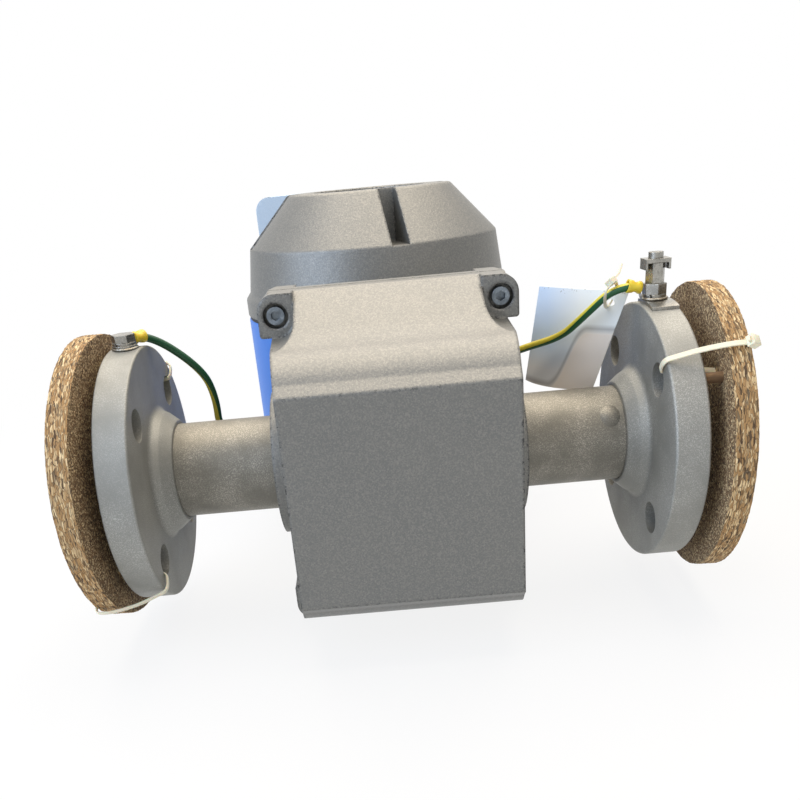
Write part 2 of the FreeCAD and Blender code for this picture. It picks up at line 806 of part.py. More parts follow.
def make_front_cap():
    """The conical cap with its four key notches and the window that it holds."""
    thread_r = cap_thread_d / 2 - fit_gap
    foot = pot_front + cap_seal_thick
    flange_top = foot + cap_flange_thick
    bore_r = window_d / 2 + fit_gap
    lip_r = window_d / 2 - window_lip
    inner_r = thread_r - cap_wall
    profile = [
        (pot_front - cap_thread_length, inner_r, 0),
        (pot_front - cap_thread_length, thread_r, rim_round),
        (foot, thread_r, 0),
        (foot, cap_flange_d / 2, rim_round),
        (flange_top, cap_flange_d / 2, flange_top_round),
        (flange_top + flange_slope, band_foot_d / 2, rear_round),
        (band_top, band_top_d / 2, cap_round),
        (cone_top, cone_top_d / 2, cone_edge_round),
        (cone_top, lip_r, cap_round / 2),
        (cone_top - window_lip_thick, lip_r, 0),
        (cone_top - window_lip_thick, bore_r, 0),
        (band_top - cap_wall, bore_r, 0),
        (flange_top + cap_wall, inner_r, cap_inner_round),
    ]
    cap = turned(profile, pot_centre, Z, X)
    notch = block(notch_root_r, cap_flange_d, -notch_width / 2, notch_width / 2, band_top,
                  cone_top + over)
    for i in range(notch_count):
        cut = notch.copy()
        cut.rotate(ORIGIN, Z, -90 + notch_turn + i * 360 / notch_count)
        cut.translate(pot_centre)
        cap = cap.cut(cut)
    keep("front_cap", cap)
    cap_seal("front_cap_seal", pot_front, cap_seal_thick)
    seat = cone_top - window_lip_thick
    seal_id = 2 * (lip_r + hole_gap)
    keep("window_seal", sleeve(window_d, seal_id, window_seal_thick, pot_centre + Z * seat, -Z))
    glass_front = seat - window_seal_thick
    keep("window_glass", rod(window_d, window_thick, pot_centre + Z * glass_front, -Z))
    ring = sleeve(window_d, 2 * lip_r, window_ring_thick, pot_centre + Z * (glass_front - window_thick), -Z)
    keep("window_ring", ring)


def make_rear_cap():
    """The flat rear cap that the meter lies on."""
    thread_r = cap_thread_d / 2 - fit_gap
    foot = pot_rear - cap_seal_thick
    flange_bottom = foot - rear_flange_thick
    profile = [
        (pot_rear + cap_thread_length, thread_r - cap_wall, 0),
        (pot_rear + cap_thread_length, thread_r, rim_round),
        (foot, thread_r, 0),
        (foot, cap_flange_d / 2, rim_round),
        (flange_bottom, cap_flange_d / 2, flange_top_round),
        (flange_bottom - rear_slope, rear_shoulder_d / 2, rear_round),
        (floor_height, rear_foot_d / 2, rear_round),
        (floor_height, 0, 0),
        (floor_height + cap_wall, 0, 0),
        (floor_height + cap_wall, rear_foot_d / 2 - cap_wall, rear_round),
        (flange_bottom, thread_r - cap_wall, rear_round),
    ]
    cap = turned(profile, pot_centre, Z, X)
    rim = rear_shoulder_d / 2
    notch = block(rim - rear_notch_depth, reach, -notch_width / 2, notch_width / 2,
                  floor_height - over, flange_bottom - rear_slope)
    for i in range(notch_count):
        cut = notch.copy()
        cut.rotate(ORIGIN, Z, i * 360 / notch_count)
        cut.translate(pot_centre)
        cap = cap.cut(cut)
    keep("rear_cap", cap)
    cap_seal("rear_cap_seal", foot, cap_seal_thick)


# Electronics inside the housing

def make_electronics():
    """Carrier with posts, main board, display module and the terminal block behind."""
    carrier = rod(carrier_d, plate_thick, pot_centre + Z * carrier_plate_front, -Z)
    posts = []
    for sx in (-1, 1):
        for sy in (-1, 1):
            foot = pot_centre + Vector(sx * post_x, sy * post_y, partition_front)
            posts.append(rod(post_d, display_front - display_thick - partition_front, foot, Z))
    for post in posts:
        carrier = carrier.fuse(post)
    keep("electronics_carrier", carrier)
    board = rod(board_d, board_thick, pot_centre + Z * board_front, -Z)
    for x0, x1, y0, y1, height in board_parts:
        piece = block(x0, x1, y0, y1, board_front, board_front + height)
        piece.translate(pot_centre)
        board = board.fuse(piece)
    for post in posts:
        centre = Vector(post.CenterOfMass.x, post.CenterOfMass.y, 0)
        board = board.cut(rod(post_d + 2 * thread_gap, reach, centre, Z))
    keep("main_board", board)
    half_w = display_width / 2
    half_h = display_height / 2
    module = block(-half_w, half_w, -half_h, half_h, display_front - display_thick, display_front)
    screen_w = screen_width / 2
    screen_h = screen_height / 2
    floor = display_front - screen_depth
    module = module.cut(block(-screen_w, screen_w, screen_offset - screen_h, screen_offset + screen_h,
                              floor, display_front + over))
    for i in (-1, 0, 1):
        key_foot = Vector(i * key_pitch, key_row - half_h, display_front)
        module = module.fuse(rod(key_d, key_height, key_foot, Z))
    module.translate(pot_centre)
    keep("display_module", module)
    screen_w = screen_w - screen_gap
    screen_h = screen_h - screen_gap
    screen = block(-screen_w, screen_w, screen_offset - screen_h, screen_offset + screen_h,
                   floor, floor + screen_thick)
    screen.translate(pot_centre)
    keep("display_screen", screen)
    rear = partition_front - partition_thick
    terminal = block(-terminal_width / 2, terminal_width / 2, -terminal_height / 2, terminal_height / 2,
                     rear - terminal_depth, rear)
    pitch = terminal_width / terminal_ways
    for i in range(terminal_ways):
        x = -terminal_width / 2 + pitch * (i + 0.5)
        screw_well = Vector(x, terminal_hole_offset, rear - terminal_depth)
        terminal = terminal.cut(rod(terminal_hole_d, terminal_hole_d, screw_well, Z))
        half_mouth = terminal_hole_d / 2
        foot = -terminal_height / 2
        terminal = terminal.cut(block(x - half_mouth, x + half_mouth, foot - over, foot + terminal_mouth,
                                      screw_well.z - over, screw_well.z + terminal_mouth))
    terminal.translate(pot_centre)
    keep("terminal_block", terminal)


# Terminal box and cable glands

def box_outline(inset, y):
    """The terminal box's rounded outline at one height, as corners for a prism."""
    corner = max(box_corner - inset, over)
    return [
        (Vector(box_left + inset, y, box_bottom + inset), corner),
        (Vector(box_right - inset, y, box_bottom + inset), corner),
        (Vector(box_right - inset, y, box_top - inset), corner),
        (Vector(box_left + inset, y, box_top - inset), corner),
    ]


def make_terminal_box():
    """The box with its lid, seal and screws, standing on the housing's pad."""
    box_back = box_front + box_depth
    body = prism(box_outline(0, box_front), Y * box_depth)
    body = body.cut(prism(box_outline(box_wall, box_front + box_wall), Y * box_depth))
    bosses = []
    for x in (box_left + box_corner, box_right - box_corner):
        for z in (box_bottom + box_corner, box_top - box_corner):
            bosses.append(Vector(x, box_front, z))
    outside = prism(box_outline(0, box_front), Y * box_depth)
    for at in bosses:
        body = body.fuse(rod(lid_boss_d, box_depth, at, Y).common(outside))
    for at in bosses:
        body = body.cut(rod(m4_d + 2 * thread_gap, lid_thread_depth, at + Y * box_depth, -Y))
    body = body.cut(rod(neck_bore_d, box_wall + 2 * over, Vector(0, box_front - over, 0), Y))
    lid = prism(box_outline(0, box_back + lid_seal_thick), Y * lid_thick)
    seal = prism(box_outline(lid_inset, box_back), Y * lid_seal_thick)
    seal = seal.cut(prism(box_outline(box_wall, box_back), Y * lid_seal_thick))
    screws = []
    head_seat = box_back + lid_seal_thick + lid_thick - m4_head_height
    for at in bosses:
        seal_line = Vector(at.x, box_back - over, at.z)
        seat = Vector(at.x, head_seat, at.z)
        seal = seal.cut(rod(lid_boss_d + 2 * fit_gap, lid_seal_thick + 2 * over, seal_line, Y))
        lid = lid.cut(rod(m4_d + 2 * through_gap, lid_thick + 2 * over, seal_line, Y))
        lid = lid.cut(rod(m4_head_d + 2 * through_gap, m4_head_height + over, seat, Y))
        screws.append(socket_screw(seat, -Y, Z, lid_grip, m4_head_d, m4_head_height, m4_d, m4_hex))
    for i, z in enumerate((gland_middle_z - gland_spacing / 2, gland_middle_z + gland_spacing / 2)):
        at = Vector(box_right, box_front + box_depth / 2, z)
        body = body.cut(rod(gland_thread_d + 2 * thread_gap, 2 * box_wall + over, at + X * over, -X))
        make_gland("gland_" + ("lower", "upper")[i], at)
    keep("terminal_box", body.removeSplitter())
    keep("terminal_box_lid", lid)
    keep("lid_seal", seal)
    keep("lid_screws", group(screws))


def make_gland(name, at):
    """A cable gland: threaded body, sealing insert and the nut that turns over it."""
    body = rod(gland_thread_d, gland_neck_length + gland_hex_thick, at - X * gland_neck_length, X)
    body = body.fuse(hexagon(gland_flats, gland_hex_thick, at, X, Z))
    spigot = rod(gland_spigot_d, gland_spigot_length, at + X * gland_hex_thick, X)
    body = body.fuse(spigot).cut(rod(gland_passage_d, reach, at - X * reach / 2, X))
    keep(name + "_body", body)
    nut_foot = at + X * (gland_hex_thick + through_gap)
    hex_length = gland_nut_length - gland_dome_length
    nut = hexagon(gland_flats, hex_length, nut_foot, X, Z)
    dome_foot = nut_foot + X * hex_length
    dome_d = gland_flats / 2 - through_gap
    nut = nut.fuse(Part.makeCone(dome_d, dome_d - gland_dome_step, gland_dome_length, dome_foot, X))
    inside = gland_spigot_length + gland_seal_length + fit_gap
    nut = nut.cut(rod(gland_spigot_d + 2 * fit_gap, inside, nut_foot - X * through_gap, X))
    nut = nut.cut(rod(gland_cable_d, reach, at, X))
    keep(name + "_nut", nut)
    seal_foot = at + X * (gland_hex_thick + gland_spigot_length)
    keep(name + "_seal", sleeve(gland_spigot_d, gland_cable_d, gland_seal_length, seal_foot, X))


# Earth terminals and their wires

def ring_lug(eye, normal, barrel_way, lift, rise):
    """A crimped ring lug: flat ring, a tongue that steps up by the lift, and a sloping barrel."""
    ring = sleeve(lug_ring_d, earth_d + 2 * hole_gap, lug_sheet, eye, normal)
    side = normal.cross(barrel_way)
    step_top = lift + crimp_d / 2
    profile = [
        (tongue_start, 0), (lug_reach + lug_sheet, 0), (lug_reach + lug_sheet, step_top),
        (lug_reach, step_top), (lug_reach, lug_sheet), (tongue_start, lug_sheet),
    ]
    corners = []
    for along, up in profile:
        corners.append((eye + barrel_way * along + normal * up - side * (tongue_width / 2), 0))
    tongue = prism(corners, side * tongue_width)
    way = (barrel_way + normal * rise).normalize()
    barrel_foot = eye + barrel_way * lug_reach + normal * step_top
    barrel = rod(crimp_d, crimp_length, barrel_foot, way)
    mouth = barrel_foot + way * crimp_length
    lug = ring.fuse(tongue).fuse(barrel)
    lug = lug.cut(rod(wire_d + 2 * thread_gap, crimp_length * crimp_bore_part, mouth, -way))
    return lug, mouth, way


def wire_tube(points):
    """A wire of straight runs joined by tangent arcs, as large as the runs allow."""
    edges = []
    at = points[0]
    radii = []
    for i in range(1, len(points) - 1):
        corner = points[i]
        back = (points[i - 1] - corner)
        ahead = (points[i + 1] - corner)
        setback = arc_share * min(back.Length, ahead.Length)
        back.normalize()
        ahead.normalize()
        half_turn = (math.pi - back.getAngle(ahead)) / 2
        radius = setback / math.tan(half_turn)
        radii.append(radius)
        start = corner + back * setback
        end = corner + ahead * setback
        bisector = (back + ahead).normalize()
        middle = corner + bisector * (radius / math.cos(half_turn) - radius)
        edges.append(Part.LineSegment(at, start).toShape())
        edges.append(Part.Arc(start, middle, end).toShape())
        at = end
    edges.append(Part.LineSegment(at, points[-1]).toShape())
    path = Part.Wire(edges)
    first = (points[1] - points[0]).normalize()
    circle = Part.Wire(Part.makeCircle(wire_d / 2, points[0], first))
    tube = path.makePipeShell([circle], True, True)
    print("wire length %.1f, bend radii" % path.Length, [round(radius, 1) for radius in radii])
    print("route in the frame", [tuple(round(c, 1) for c in point + frame_shift) for point in points])
    return tube


def make_inlet_earth():
    """Bolt, washers and lug on the inlet flange's rim, with the wire to the back shell."""
    crown = Vector(-rim_middle, 0, flange_od / 2)
    lug_way = Vector(*inlet_lug_way, 0).normalize()
    lug, mouth, way = ring_lug(crown, Z, lug_way, inlet_lug_lift, inlet_lug_rise)
    keep("earth_lug_inlet", lug)
    washer_foot = crown + Z * lug_sheet
    keep("earth_washer_inlet", sleeve(earth_washer_d, earth_d + 2 * hole_gap, washer_thick, washer_foot, Z))
    spring_foot = washer_foot + Z * washer_thick
    keep("spring_washer_inlet", split_washer(spring_foot))
    head_foot = spring_foot + Z * spring_washer_thick
    head = hexagon(earth_hex, earth_head_height, head_foot, Z, X)
    shank = rod(earth_d, head_foot.z - crown.z + earth_depth - over, head_foot, -Z)
    keep("earth_bolt_inlet", head.fuse(shank))
    end, end_way = shell_lug("inlet", -1, inlet_seat, inlet_seat_way, inlet_seat_rise)
    corners = [Vector(-flange_inner + inward, y, z) for inward, y, z in inlet_route]
    first, last = inlet_route_ends
    points = [mouth - way * crimp_depth, mouth + way * first, *corners,
              end + end_way * last, end - end_way * crimp_depth]
    keep("earth_wire_inlet", wire_tube(points))


def split_washer(foot):
    """A spring washer with its slanting gap."""
    washer = sleeve(spring_washer_d, earth_d + 2 * hole_gap, spring_washer_thick, foot, Z)
    half = spring_gap / 2
    gap = block(0, spring_washer_d, -half, half, -over, spring_washer_thick + over)
    gap.rotate(ORIGIN, X, spring_gap_lean)
    gap.rotate(ORIGIN, Z, spring_gap_turn)
    gap.translate(foot)
    return washer.cut(gap)


def shell_lug(side_name, way, seat, barrel_way, rise):
    """The lug and screw on one side wall of the back shell; returns where the wire enters."""
    seat_y, seat_z = seat
    taper = (parting_half_width - face_half_width) / face_depth
    pad_face = Vector(way * (parting_half_width - taper * seat_y + shell_lug_pad), seat_y, seat_z)
    outward = X * way
    pad_depth = shell_lug_pad + shell_lug_root
    back = NODES["shell_back"].fuse(rod(lug_ring_d, pad_depth, pad_face, -outward))
    hole = rod(m4_d + 2 * thread_gap, pad_depth + over, pad_face + outward * over, -outward)
    keep("shell_back", back.cut(hole))
    lug, mouth, barrel = ring_lug(pad_face, outward, Vector(0, *barrel_way).normalize(), shell_lug_lift, rise)
    keep("earth_lug_shell_" + side_name, lug)
    screw = socket_screw(pad_face + outward * lug_sheet, -outward, Z, shell_screw_grip,
                         m4_head_d, m4_head_height, m4_d, m4_hex)
    keep("earth_screw_shell_" + side_name, screw)
    return mouth, barrel


def make_outlet_earth():
    """The clamp terminal on the outlet flange's rim, with the wire to the back shell."""
    crown = Vector(rim_middle, 0, flange_od / 2)
    saddle_foot = X * (rim_middle - saddle_inward)
    plate = sleeve(flange_od + 2 * saddle_thick, flange_od, saddle_inward + saddle_outward, saddle_foot, X)
    plate = plate.common(block(-reach, reach, saddle_front, saddle_back, 0, flange_od))
    plate = plate.cut(rod(earth_d + 2 * hole_gap, saddle_thick + 2 * over, crown - Z * over, Z))
    keep("terminal_plate", plate)
    lug_foot_at = crown + Z * saddle_thick
    lug, mouth, way = ring_lug(lug_foot_at, Z, -X, outlet_lug_lift, outlet_lug_rise)
    keep("earth_lug_outlet", lug)
    spring_foot = lug_foot_at + Z * lug_sheet
    keep("spring_washer_outlet", split_washer(spring_foot))
    nut_foot = spring_foot + Z * spring_washer_thick
    nut = hexagon(earth_hex, nut_height, nut_foot, Z, Y)
    nut = nut.cut(rod(earth_d + 2 * thread_gap, nut_height + 2 * over, nut_foot - Z * over, Z))
    keep("terminal_nut", nut)
    post_foot = nut_foot + Z * nut_height
    stud = rod(earth_d, post_foot.z - crown.z + earth_depth - over, post_foot, -Z)
    post = hexagon(post_flats, post_height, post_foot, Z, X).fuse(stud)
    clamp_foot = post_foot + Z * post_height
    post = post.cut(rod(m4_d + 2 * thread_gap, clamp_screw_length, clamp_foot, -Z))
    keep("terminal_post", post)
    half_c = clamp_width / 2
    half_d = clamp_length / 2
    clamp = block(-half_c, half_c, -half_d, half_d, 0, clamp_thick)
    for side in (-1, 1):
        lip_centre = side * (half_c - clamp_lip_thick / 2)
        clamp = clamp.fuse(block(lip_centre - clamp_lip_thick / 2, lip_centre + clamp_lip_thick / 2,
                                 -half_d, half_d, -clamp_lip, 0))
    clamp = clamp.cut(rod(m4_d + 2 * hole_gap, clamp_thick + 2 * over, -Z * over, Z))
    clamp.translate(clamp_foot)
    keep("terminal_clamp", clamp)
    screw_seat = clamp_foot + Z * clamp_thick
    slot = block(-clamp_screw_d, clamp_screw_d, -clamp_slot / 2, clamp_slot / 2,
                 clamp_screw_height - clamp_slot_depth, clamp_screw_height + over)
    slot.translate(screw_seat)
    head = rod(clamp_screw_d, clamp_screw_height, screw_seat, Z).cut(slot)
    keep("terminal_screw", head.fuse(rod(m4_d, clamp_screw_length, screw_seat, -Z)))
    end, end_way = shell_lug("outlet", 1, outlet_seat, outlet_seat_way, outlet_seat_rise)
    corners = [Vector(flange_inner - inward, y, z) for inward, y, z in outlet_route]
    first, last = outlet_route_ends
    points = [mouth - way * crimp_depth, mouth + way * first, *corners,
              end + end_way * last, end - end_way * crimp_depth]
    keep("earth_wire_outlet", wire_tube(points))


# Chipboard discs and the hang tag

def make_disc(gap, tilt, tie_turns):
    """A protection disc in front of the outlet flange, leaning about Z, and its centre's X."""
    lean = math.tan(math.radians(abs(tilt))) * flare_od / 2
    centre_x = half_span + flare_thick + gap + lean
    disc = rod(disc_d, disc_thick, ORIGIN, X)
    for turn in tie_turns:
        angle = math.radians(turn)
        at = Vector(-over, bolt_circle / 2 * math.cos(angle), bolt_circle / 2 * math.sin(angle))
        disc = disc.cut(rod(disc_tie_hole_d, disc_thick + 2 * over, at, X))
    disc.rotate(ORIGIN, Z, -tilt)
    disc.translate(X * centre_x)
    return disc, centre_x


def make_discs():
    """Both discs; the outlet disc stands on a short wooden peg."""
    inlet, inlet_x = make_disc(inlet_disc_gap, -inlet_disc_tilt, inlet_tie_turns)
    keep("disc_inlet", mirrored_x(inlet))
    outlet, outlet_x = make_disc(outlet_disc_gap, outlet_disc_tilt, outlet_tie_turns)
    slope = math.tan(math.radians(outlet_disc_tilt))
    peg_r = flange_od / 2 - peg_edge
    peg_y = peg_r * math.cos(math.radians(peg_turn))
    peg_z = peg_r * math.sin(math.radians(peg_turn))
    peg_foot = bolting_face + fit_gap
    peg_end = outlet_x + slope * peg_y + peg_sunk
    keep("disc_peg", rod(peg_d, peg_end - peg_foot, Vector(peg_foot, peg_y, peg_z), X))
    socket = rod(peg_d + 2 * thread_gap, disc_thick, Vector(peg_end - disc_thick, peg_y, peg_z), X)
    keep("disc_outlet", outlet.cut(socket))


def tag_edge(points, height):
    """The tag's thin section at one height, bent along an arc through three points."""
    front = [Vector(flange_inner - inward, y, height) for inward, y in points]
    offset = Vector(tag_thick, tag_thick, 0) * math.sqrt(0.5)
    back = [point + offset for point in front]
    return Part.Wire([
        Part.Arc(*front).toShape(),
        Part.LineSegment(front[2], back[2]).toShape(),
        Part.Arc(*reversed(back)).toShape(),
        Part.LineSegment(back[0], front[0]).toShape(),
    ])


def make_tag():
    """The thin hang tag behind the outlet wire, its lower corner resting on the pipe."""
    foot_y = math.sqrt(pipe_r ** 2 - tag_bottom_height ** 2) + thread_gap
    bottom = [*tag_bottom, (tag_foot_inward, foot_y)]
    edges = [tag_edge(tag_top, tag_top_height), tag_edge(bottom, tag_bottom_height)]
    tag = Part.makeLoft(edges, True, True)
    hole_foot = Vector(flange_inner - tag_hole_inward, 0, tag_hole_height)
    keep("hang_tag", tag.cut(rod(tag_hole_d, reach, hole_foot, Y)))


def main():
    """Builds every piece and writes one STEP file per node."""
    bore_d = make_pipe_run()
    make_shells()
    make_magnets(bore_d)
    make_housing()
    make_front_cap()
    make_rear_cap()
    make_electronics()
    make_terminal_box()
    make_inlet_earth()
    make_outlet_earth()
    make_discs()
    make_tag()
    os.makedirs("parts", exist_ok=True)
    for name, shape in NODES.items():
        shape.translate(frame_shift)
        shape.exportStep("parts/" + name + ".step")
        print(name, len(shape.Solids), shape.isValid(), round(shape.Volume))


main()
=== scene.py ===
import logging
import math
from dataclasses import dataclass, field
from enum import Enum

import bmesh
import bpy
from mathutils import Matrix, Vector, noise


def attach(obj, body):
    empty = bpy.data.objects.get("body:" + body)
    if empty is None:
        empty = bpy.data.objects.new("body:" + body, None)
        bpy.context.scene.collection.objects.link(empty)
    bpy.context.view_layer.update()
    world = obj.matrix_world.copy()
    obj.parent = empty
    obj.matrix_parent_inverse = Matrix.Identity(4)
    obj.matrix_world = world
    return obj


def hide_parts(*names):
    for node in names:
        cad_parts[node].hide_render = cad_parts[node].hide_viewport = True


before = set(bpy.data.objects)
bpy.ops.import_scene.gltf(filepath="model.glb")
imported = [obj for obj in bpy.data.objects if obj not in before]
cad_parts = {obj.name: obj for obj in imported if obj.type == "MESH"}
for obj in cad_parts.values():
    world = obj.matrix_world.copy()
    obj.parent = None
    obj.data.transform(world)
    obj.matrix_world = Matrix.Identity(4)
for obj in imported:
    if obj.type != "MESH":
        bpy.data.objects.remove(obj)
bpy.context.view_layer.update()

log = logging.getLogger("flow_meter")

Pair = tuple[float, float]
Triple = tuple[float, float, float]
Names = tuple[str, ...]
NodeValue = float | tuple | Vector | bpy.types.NodeSocket | bpy.types.Node


class Way(Enum):
    """Which end of the meter a fitting belongs to, as its sign along X."""

    INLET = -1
    OUTLET = 1


def mm(value: float) -> float:
    """Turns millimetres to metres.

    Args:
        value: A length in millimetres.

    Returns:
        The same length in metres.
    """
    return value / 1000


def point(x: float, y: float, z: float) -> Vector:
    """Gives a point of the meter's frame.

    Args:
        x: Distance along the pipe in millimetres.
        y: Distance back in millimetres.
        z: Height in millimetres.

    Returns:
        The point in metres.
    """
    return Vector((mm(x), mm(y), mm(z)))


def linear(code: str) -> tuple[float, float, float, float]:
    """Turns an sRGB hex colour to the linear colour that Blender takes.

    Args:
        code: The colour, such as "#A0B0C0".

    Returns:
        Linear red, green, blue and an alpha of 1.
    """
    parts = [int(code[i:i + 2], 16) / 255 for i in (1, 3, 5)]
    bands = [c / 12.92 if c <= 0.04045 else ((c + 0.055) / 1.055) ** 2.4 for c in parts]
    return bands[0], bands[1], bands[2], 1.0


def give(tree: bpy.types.NodeTree, socket: bpy.types.NodeSocket, value: NodeValue) -> None:
    """Gives a node's input its value or link.

    Args:
        tree: The node tree.
        socket: The input.
        value: A plain value, another node's output, or a node for its first output.
    """
    if isinstance(value, bpy.types.Node):
        value = value.outputs[0]
    if isinstance(value, bpy.types.NodeSocket):
        tree.links.new(value, socket)
    else:
        socket.default_value = value


def add(tree: bpy.types.NodeTree, kind: str, inputs: dict[str | int, NodeValue] | None = None,
        **settings: object) -> bpy.types.Node:
    """Adds one node with its settings and links.

    Args:
        tree: The node tree that gets the node.
        kind: The node's type without its leading ShaderNode.
        inputs: Values, outputs or nodes, by the input's name or number.
        **settings: The node's own options.

    Returns:
        The new node.
    """
    node = tree.nodes.new("ShaderNode" + kind)
    for name, value in settings.items():
        setattr(node, name, value)
    for name, value in (inputs or {}).items():
        give(tree, node.inputs[name], value)
    return node


# Finishes

@dataclass(frozen=True)
class Ground:
    """What a finish works on: a material's nodes, its main shader and the place on the meter."""

    tree: bpy.types.NodeTree
    shader: bpy.types.Node
    where: bpy.types.NodeSocket

    def feed(self, name: str, value: NodeValue) -> None:
        """Gives one of the main shader's inputs its value or link."""
        give(self.tree, self.shader.inputs[name], value)

    def tint(self, base: NodeValue, mask: NodeValue, span: Pair, colour: str,
             most: float = 1.0) -> bpy.types.NodeSocket:
        """Lays a colour over another where a mask runs through a span.

        Args:
            base: The colour underneath.
            mask: The value that decides where.
            span: The mask's values at which the upper colour begins and is full.
            colour: The upper colour's code.
            most: How much of it shows where it is full.

        Returns:
            The mixed colour.
        """
        share = add(self.tree, "MapRange", {0: mask, 1: span[0], 2: span[1], 3: 0.0, 4: most})
        laid = add(self.tree, "Mix", {0: share, 6: base, 7: linear(colour)}, data_type="RGBA")
        return laid.outputs[2]

    def ripple(self, size_mm: float, depth_mm: float, strength: float,
               normal: bpy.types.Node | None = None) -> None:
        """Raises soft bumps of a real size.

        Args:
            size_mm: How wide they are.
            depth_mm: How deep they are.
            strength: How strongly they shade, from 0 to 1.
            normal: The normal that they lie on, where it isn't the mesh's own.
        """
        wave = add(self.tree, "TexNoise", {"Vector": self.where, "Scale": 1000 / size_mm})
        inputs = {"Strength": strength, "Distance": mm(depth_mm), "Height": wave}
        if normal is not None:
            inputs["Normal"] = normal
        self.feed("Normal", add(self.tree, "Bump", inputs))


@dataclass(frozen=True)
class Finish:
    """A real finish: its name, main colour and how it scatters light."""

    name: str
    colour: str
    metallic: float
    roughness: float

    def material(self) -> bpy.types.Material:
        """Makes the material the first time it is asked for.

        Returns:
            The Blender material.
        """
        made = bpy.data.materials.get(self.name)
        if made is None:
            made = bpy.data.materials.new(self.name)
            made.use_nodes = True
            made.diffuse_color = linear(self.colour)
            tree = made.node_tree
            where = add(tree, "TexCoord").outputs["Object"]
            on = Ground(tree, tree.nodes["Principled BSDF"], where)
            on.feed("Base Color", linear(self.colour))
            on.feed("Metallic", self.metallic)
            on.feed("Roughness", self.roughness)
            self.detail(on)
        return made

    def detail(self, on: Ground) -> None:
        """Adds the finish's own pattern.

        Args:
            on: The material that gets it.
        """


@dataclass(frozen=True)
class FlakePaint(Finish):
    """Sprayed paint on a casting: soft patches, fine flakes, orange peel and chipped edges."""

    patch: str
    flake: str
    chip: str
    patch_mm: float = 38.0
    # Real flakes are finer and real peel is shallower: both are drawn coarser, so that they show
    flake_mm: float = 0.6
    flake_share: float = 0.5
    peel_mm: float = 0.9
    peel_depth_mm: float = 0.06
    edge_mm: float = 0.9
    chip_mm: float = 2.2
    chip_share: float = 0.5
    flake_span: Pair = (0.35, 0.95)
    # Cosines of the turn between the rounded normal and the plain one
    edge_span: Pair = (0.997, 0.975)
    chip_blur: float = 0.06

    def detail(self, on: Ground) -> None:
        """Adds patches of shade, flakes, peel and chips.

        Args:
            on: The material that gets them.
        """
        tree = on.tree
        cloud = add(tree, "TexNoise",
                    {"Vector": on.where, "Scale": 1000 / self.patch_mm, "Detail": 3.0})
        shade = add(tree, "Mix", {0: cloud, 6: linear(self.colour), 7: linear(self.patch)},
                    data_type="RGBA")
        cell = add(tree, "TexVoronoi", {"Vector": on.where, "Scale": 1000 / self.flake_mm})
        flaked = on.tint(shade.outputs[2], cell.outputs["Color"], self.flake_span, self.flake,
                         self.flake_share)
        rounded = add(tree, "Bevel", {"Radius": mm(self.edge_mm)}, samples=4)
        plain = add(tree, "NewGeometry")
        along = add(tree, "VectorMath",
                    {0: rounded, 1: plain.outputs["Normal"]}, operation="DOT_PRODUCT")
        edge = add(tree, "MapRange",
                   {0: along.outputs["Value"], 1: self.edge_span[0], 2: self.edge_span[1],
                    3: 0.0, 4: 1.0})
        broken = add(tree, "TexNoise",
                     {"Vector": on.where, "Scale": 1000 / self.chip_mm, "Detail": 4.0,
                      "Roughness": 0.7})
        worn = add(tree, "Math", {0: broken, 1: edge}, operation="MULTIPLY")
        chip_span = (self.chip_share, self.chip_share + self.chip_blur)
        on.feed("Base Color", on.tint(flaked, worn, chip_span, self.chip))
        on.ripple(self.peel_mm, self.peel_depth_mm, strength=0.6, normal=rounded)


@dataclass(frozen=True)
class WorkedMetal(Finish):
    """Bare metal or split wood with the grain its making left: grit, stains, softened edges."""

    grit: str
    stain: str
    # The marks of real grit or tools are finer: they are drawn coarser, so that the grain shows
    grit_mm: float
    stain_mm: float
    depth_mm: float
    stretch: Triple = (1.0, 1.0, 1.0)
    spread: float = 0.12
    edge_mm: float = 0.5
    grit_span: Pair = (0.47, 0.66)
    stain_span: Pair = (0.4, 0.68)
    stain_most: float = 0.8
    rough_span: Pair = (0.3, 0.7)

    def detail(self, on: Ground) -> None:
        """Adds grit, stains, roughness and bump.

        Args:
            on: The material that gets them.
        """
        tree = on.tree
        drawn = add(tree, "Mapping", {"Vector": on.where, "Scale": self.stretch})
        grit = add(tree, "TexNoise", {"Vector": drawn, "Scale": 1000 / self.grit_mm, "Detail": 3.0,
                                      "Roughness": 0.65})
        cloud = add(tree, "TexNoise",
                    {"Vector": on.where, "Scale": 1000 / self.stain_mm, "Detail": 5.0})
        gritty = on.tint(linear(self.colour), grit, self.grit_span, self.grit)
        on.feed("Base Color", on.tint(gritty, cloud, self.stain_span, self.stain, self.stain_most))
        rough = add(tree, "MapRange",
                    {0: grit, 1: self.rough_span[0], 2: self.rough_span[1],
                     3: self.roughness - self.spread, 4: self.roughness + self.spread})
        on.feed("Roughness", rough)
        rounded = add(tree, "Bevel", {"Radius": mm(self.edge_mm)}, samples=4)
        bump = add(tree, "Bump", {"Strength": 0.6, "Distance": mm(self.depth_mm), "Height": grit,
                                  "Normal": rounded})
        on.feed("Normal", bump)


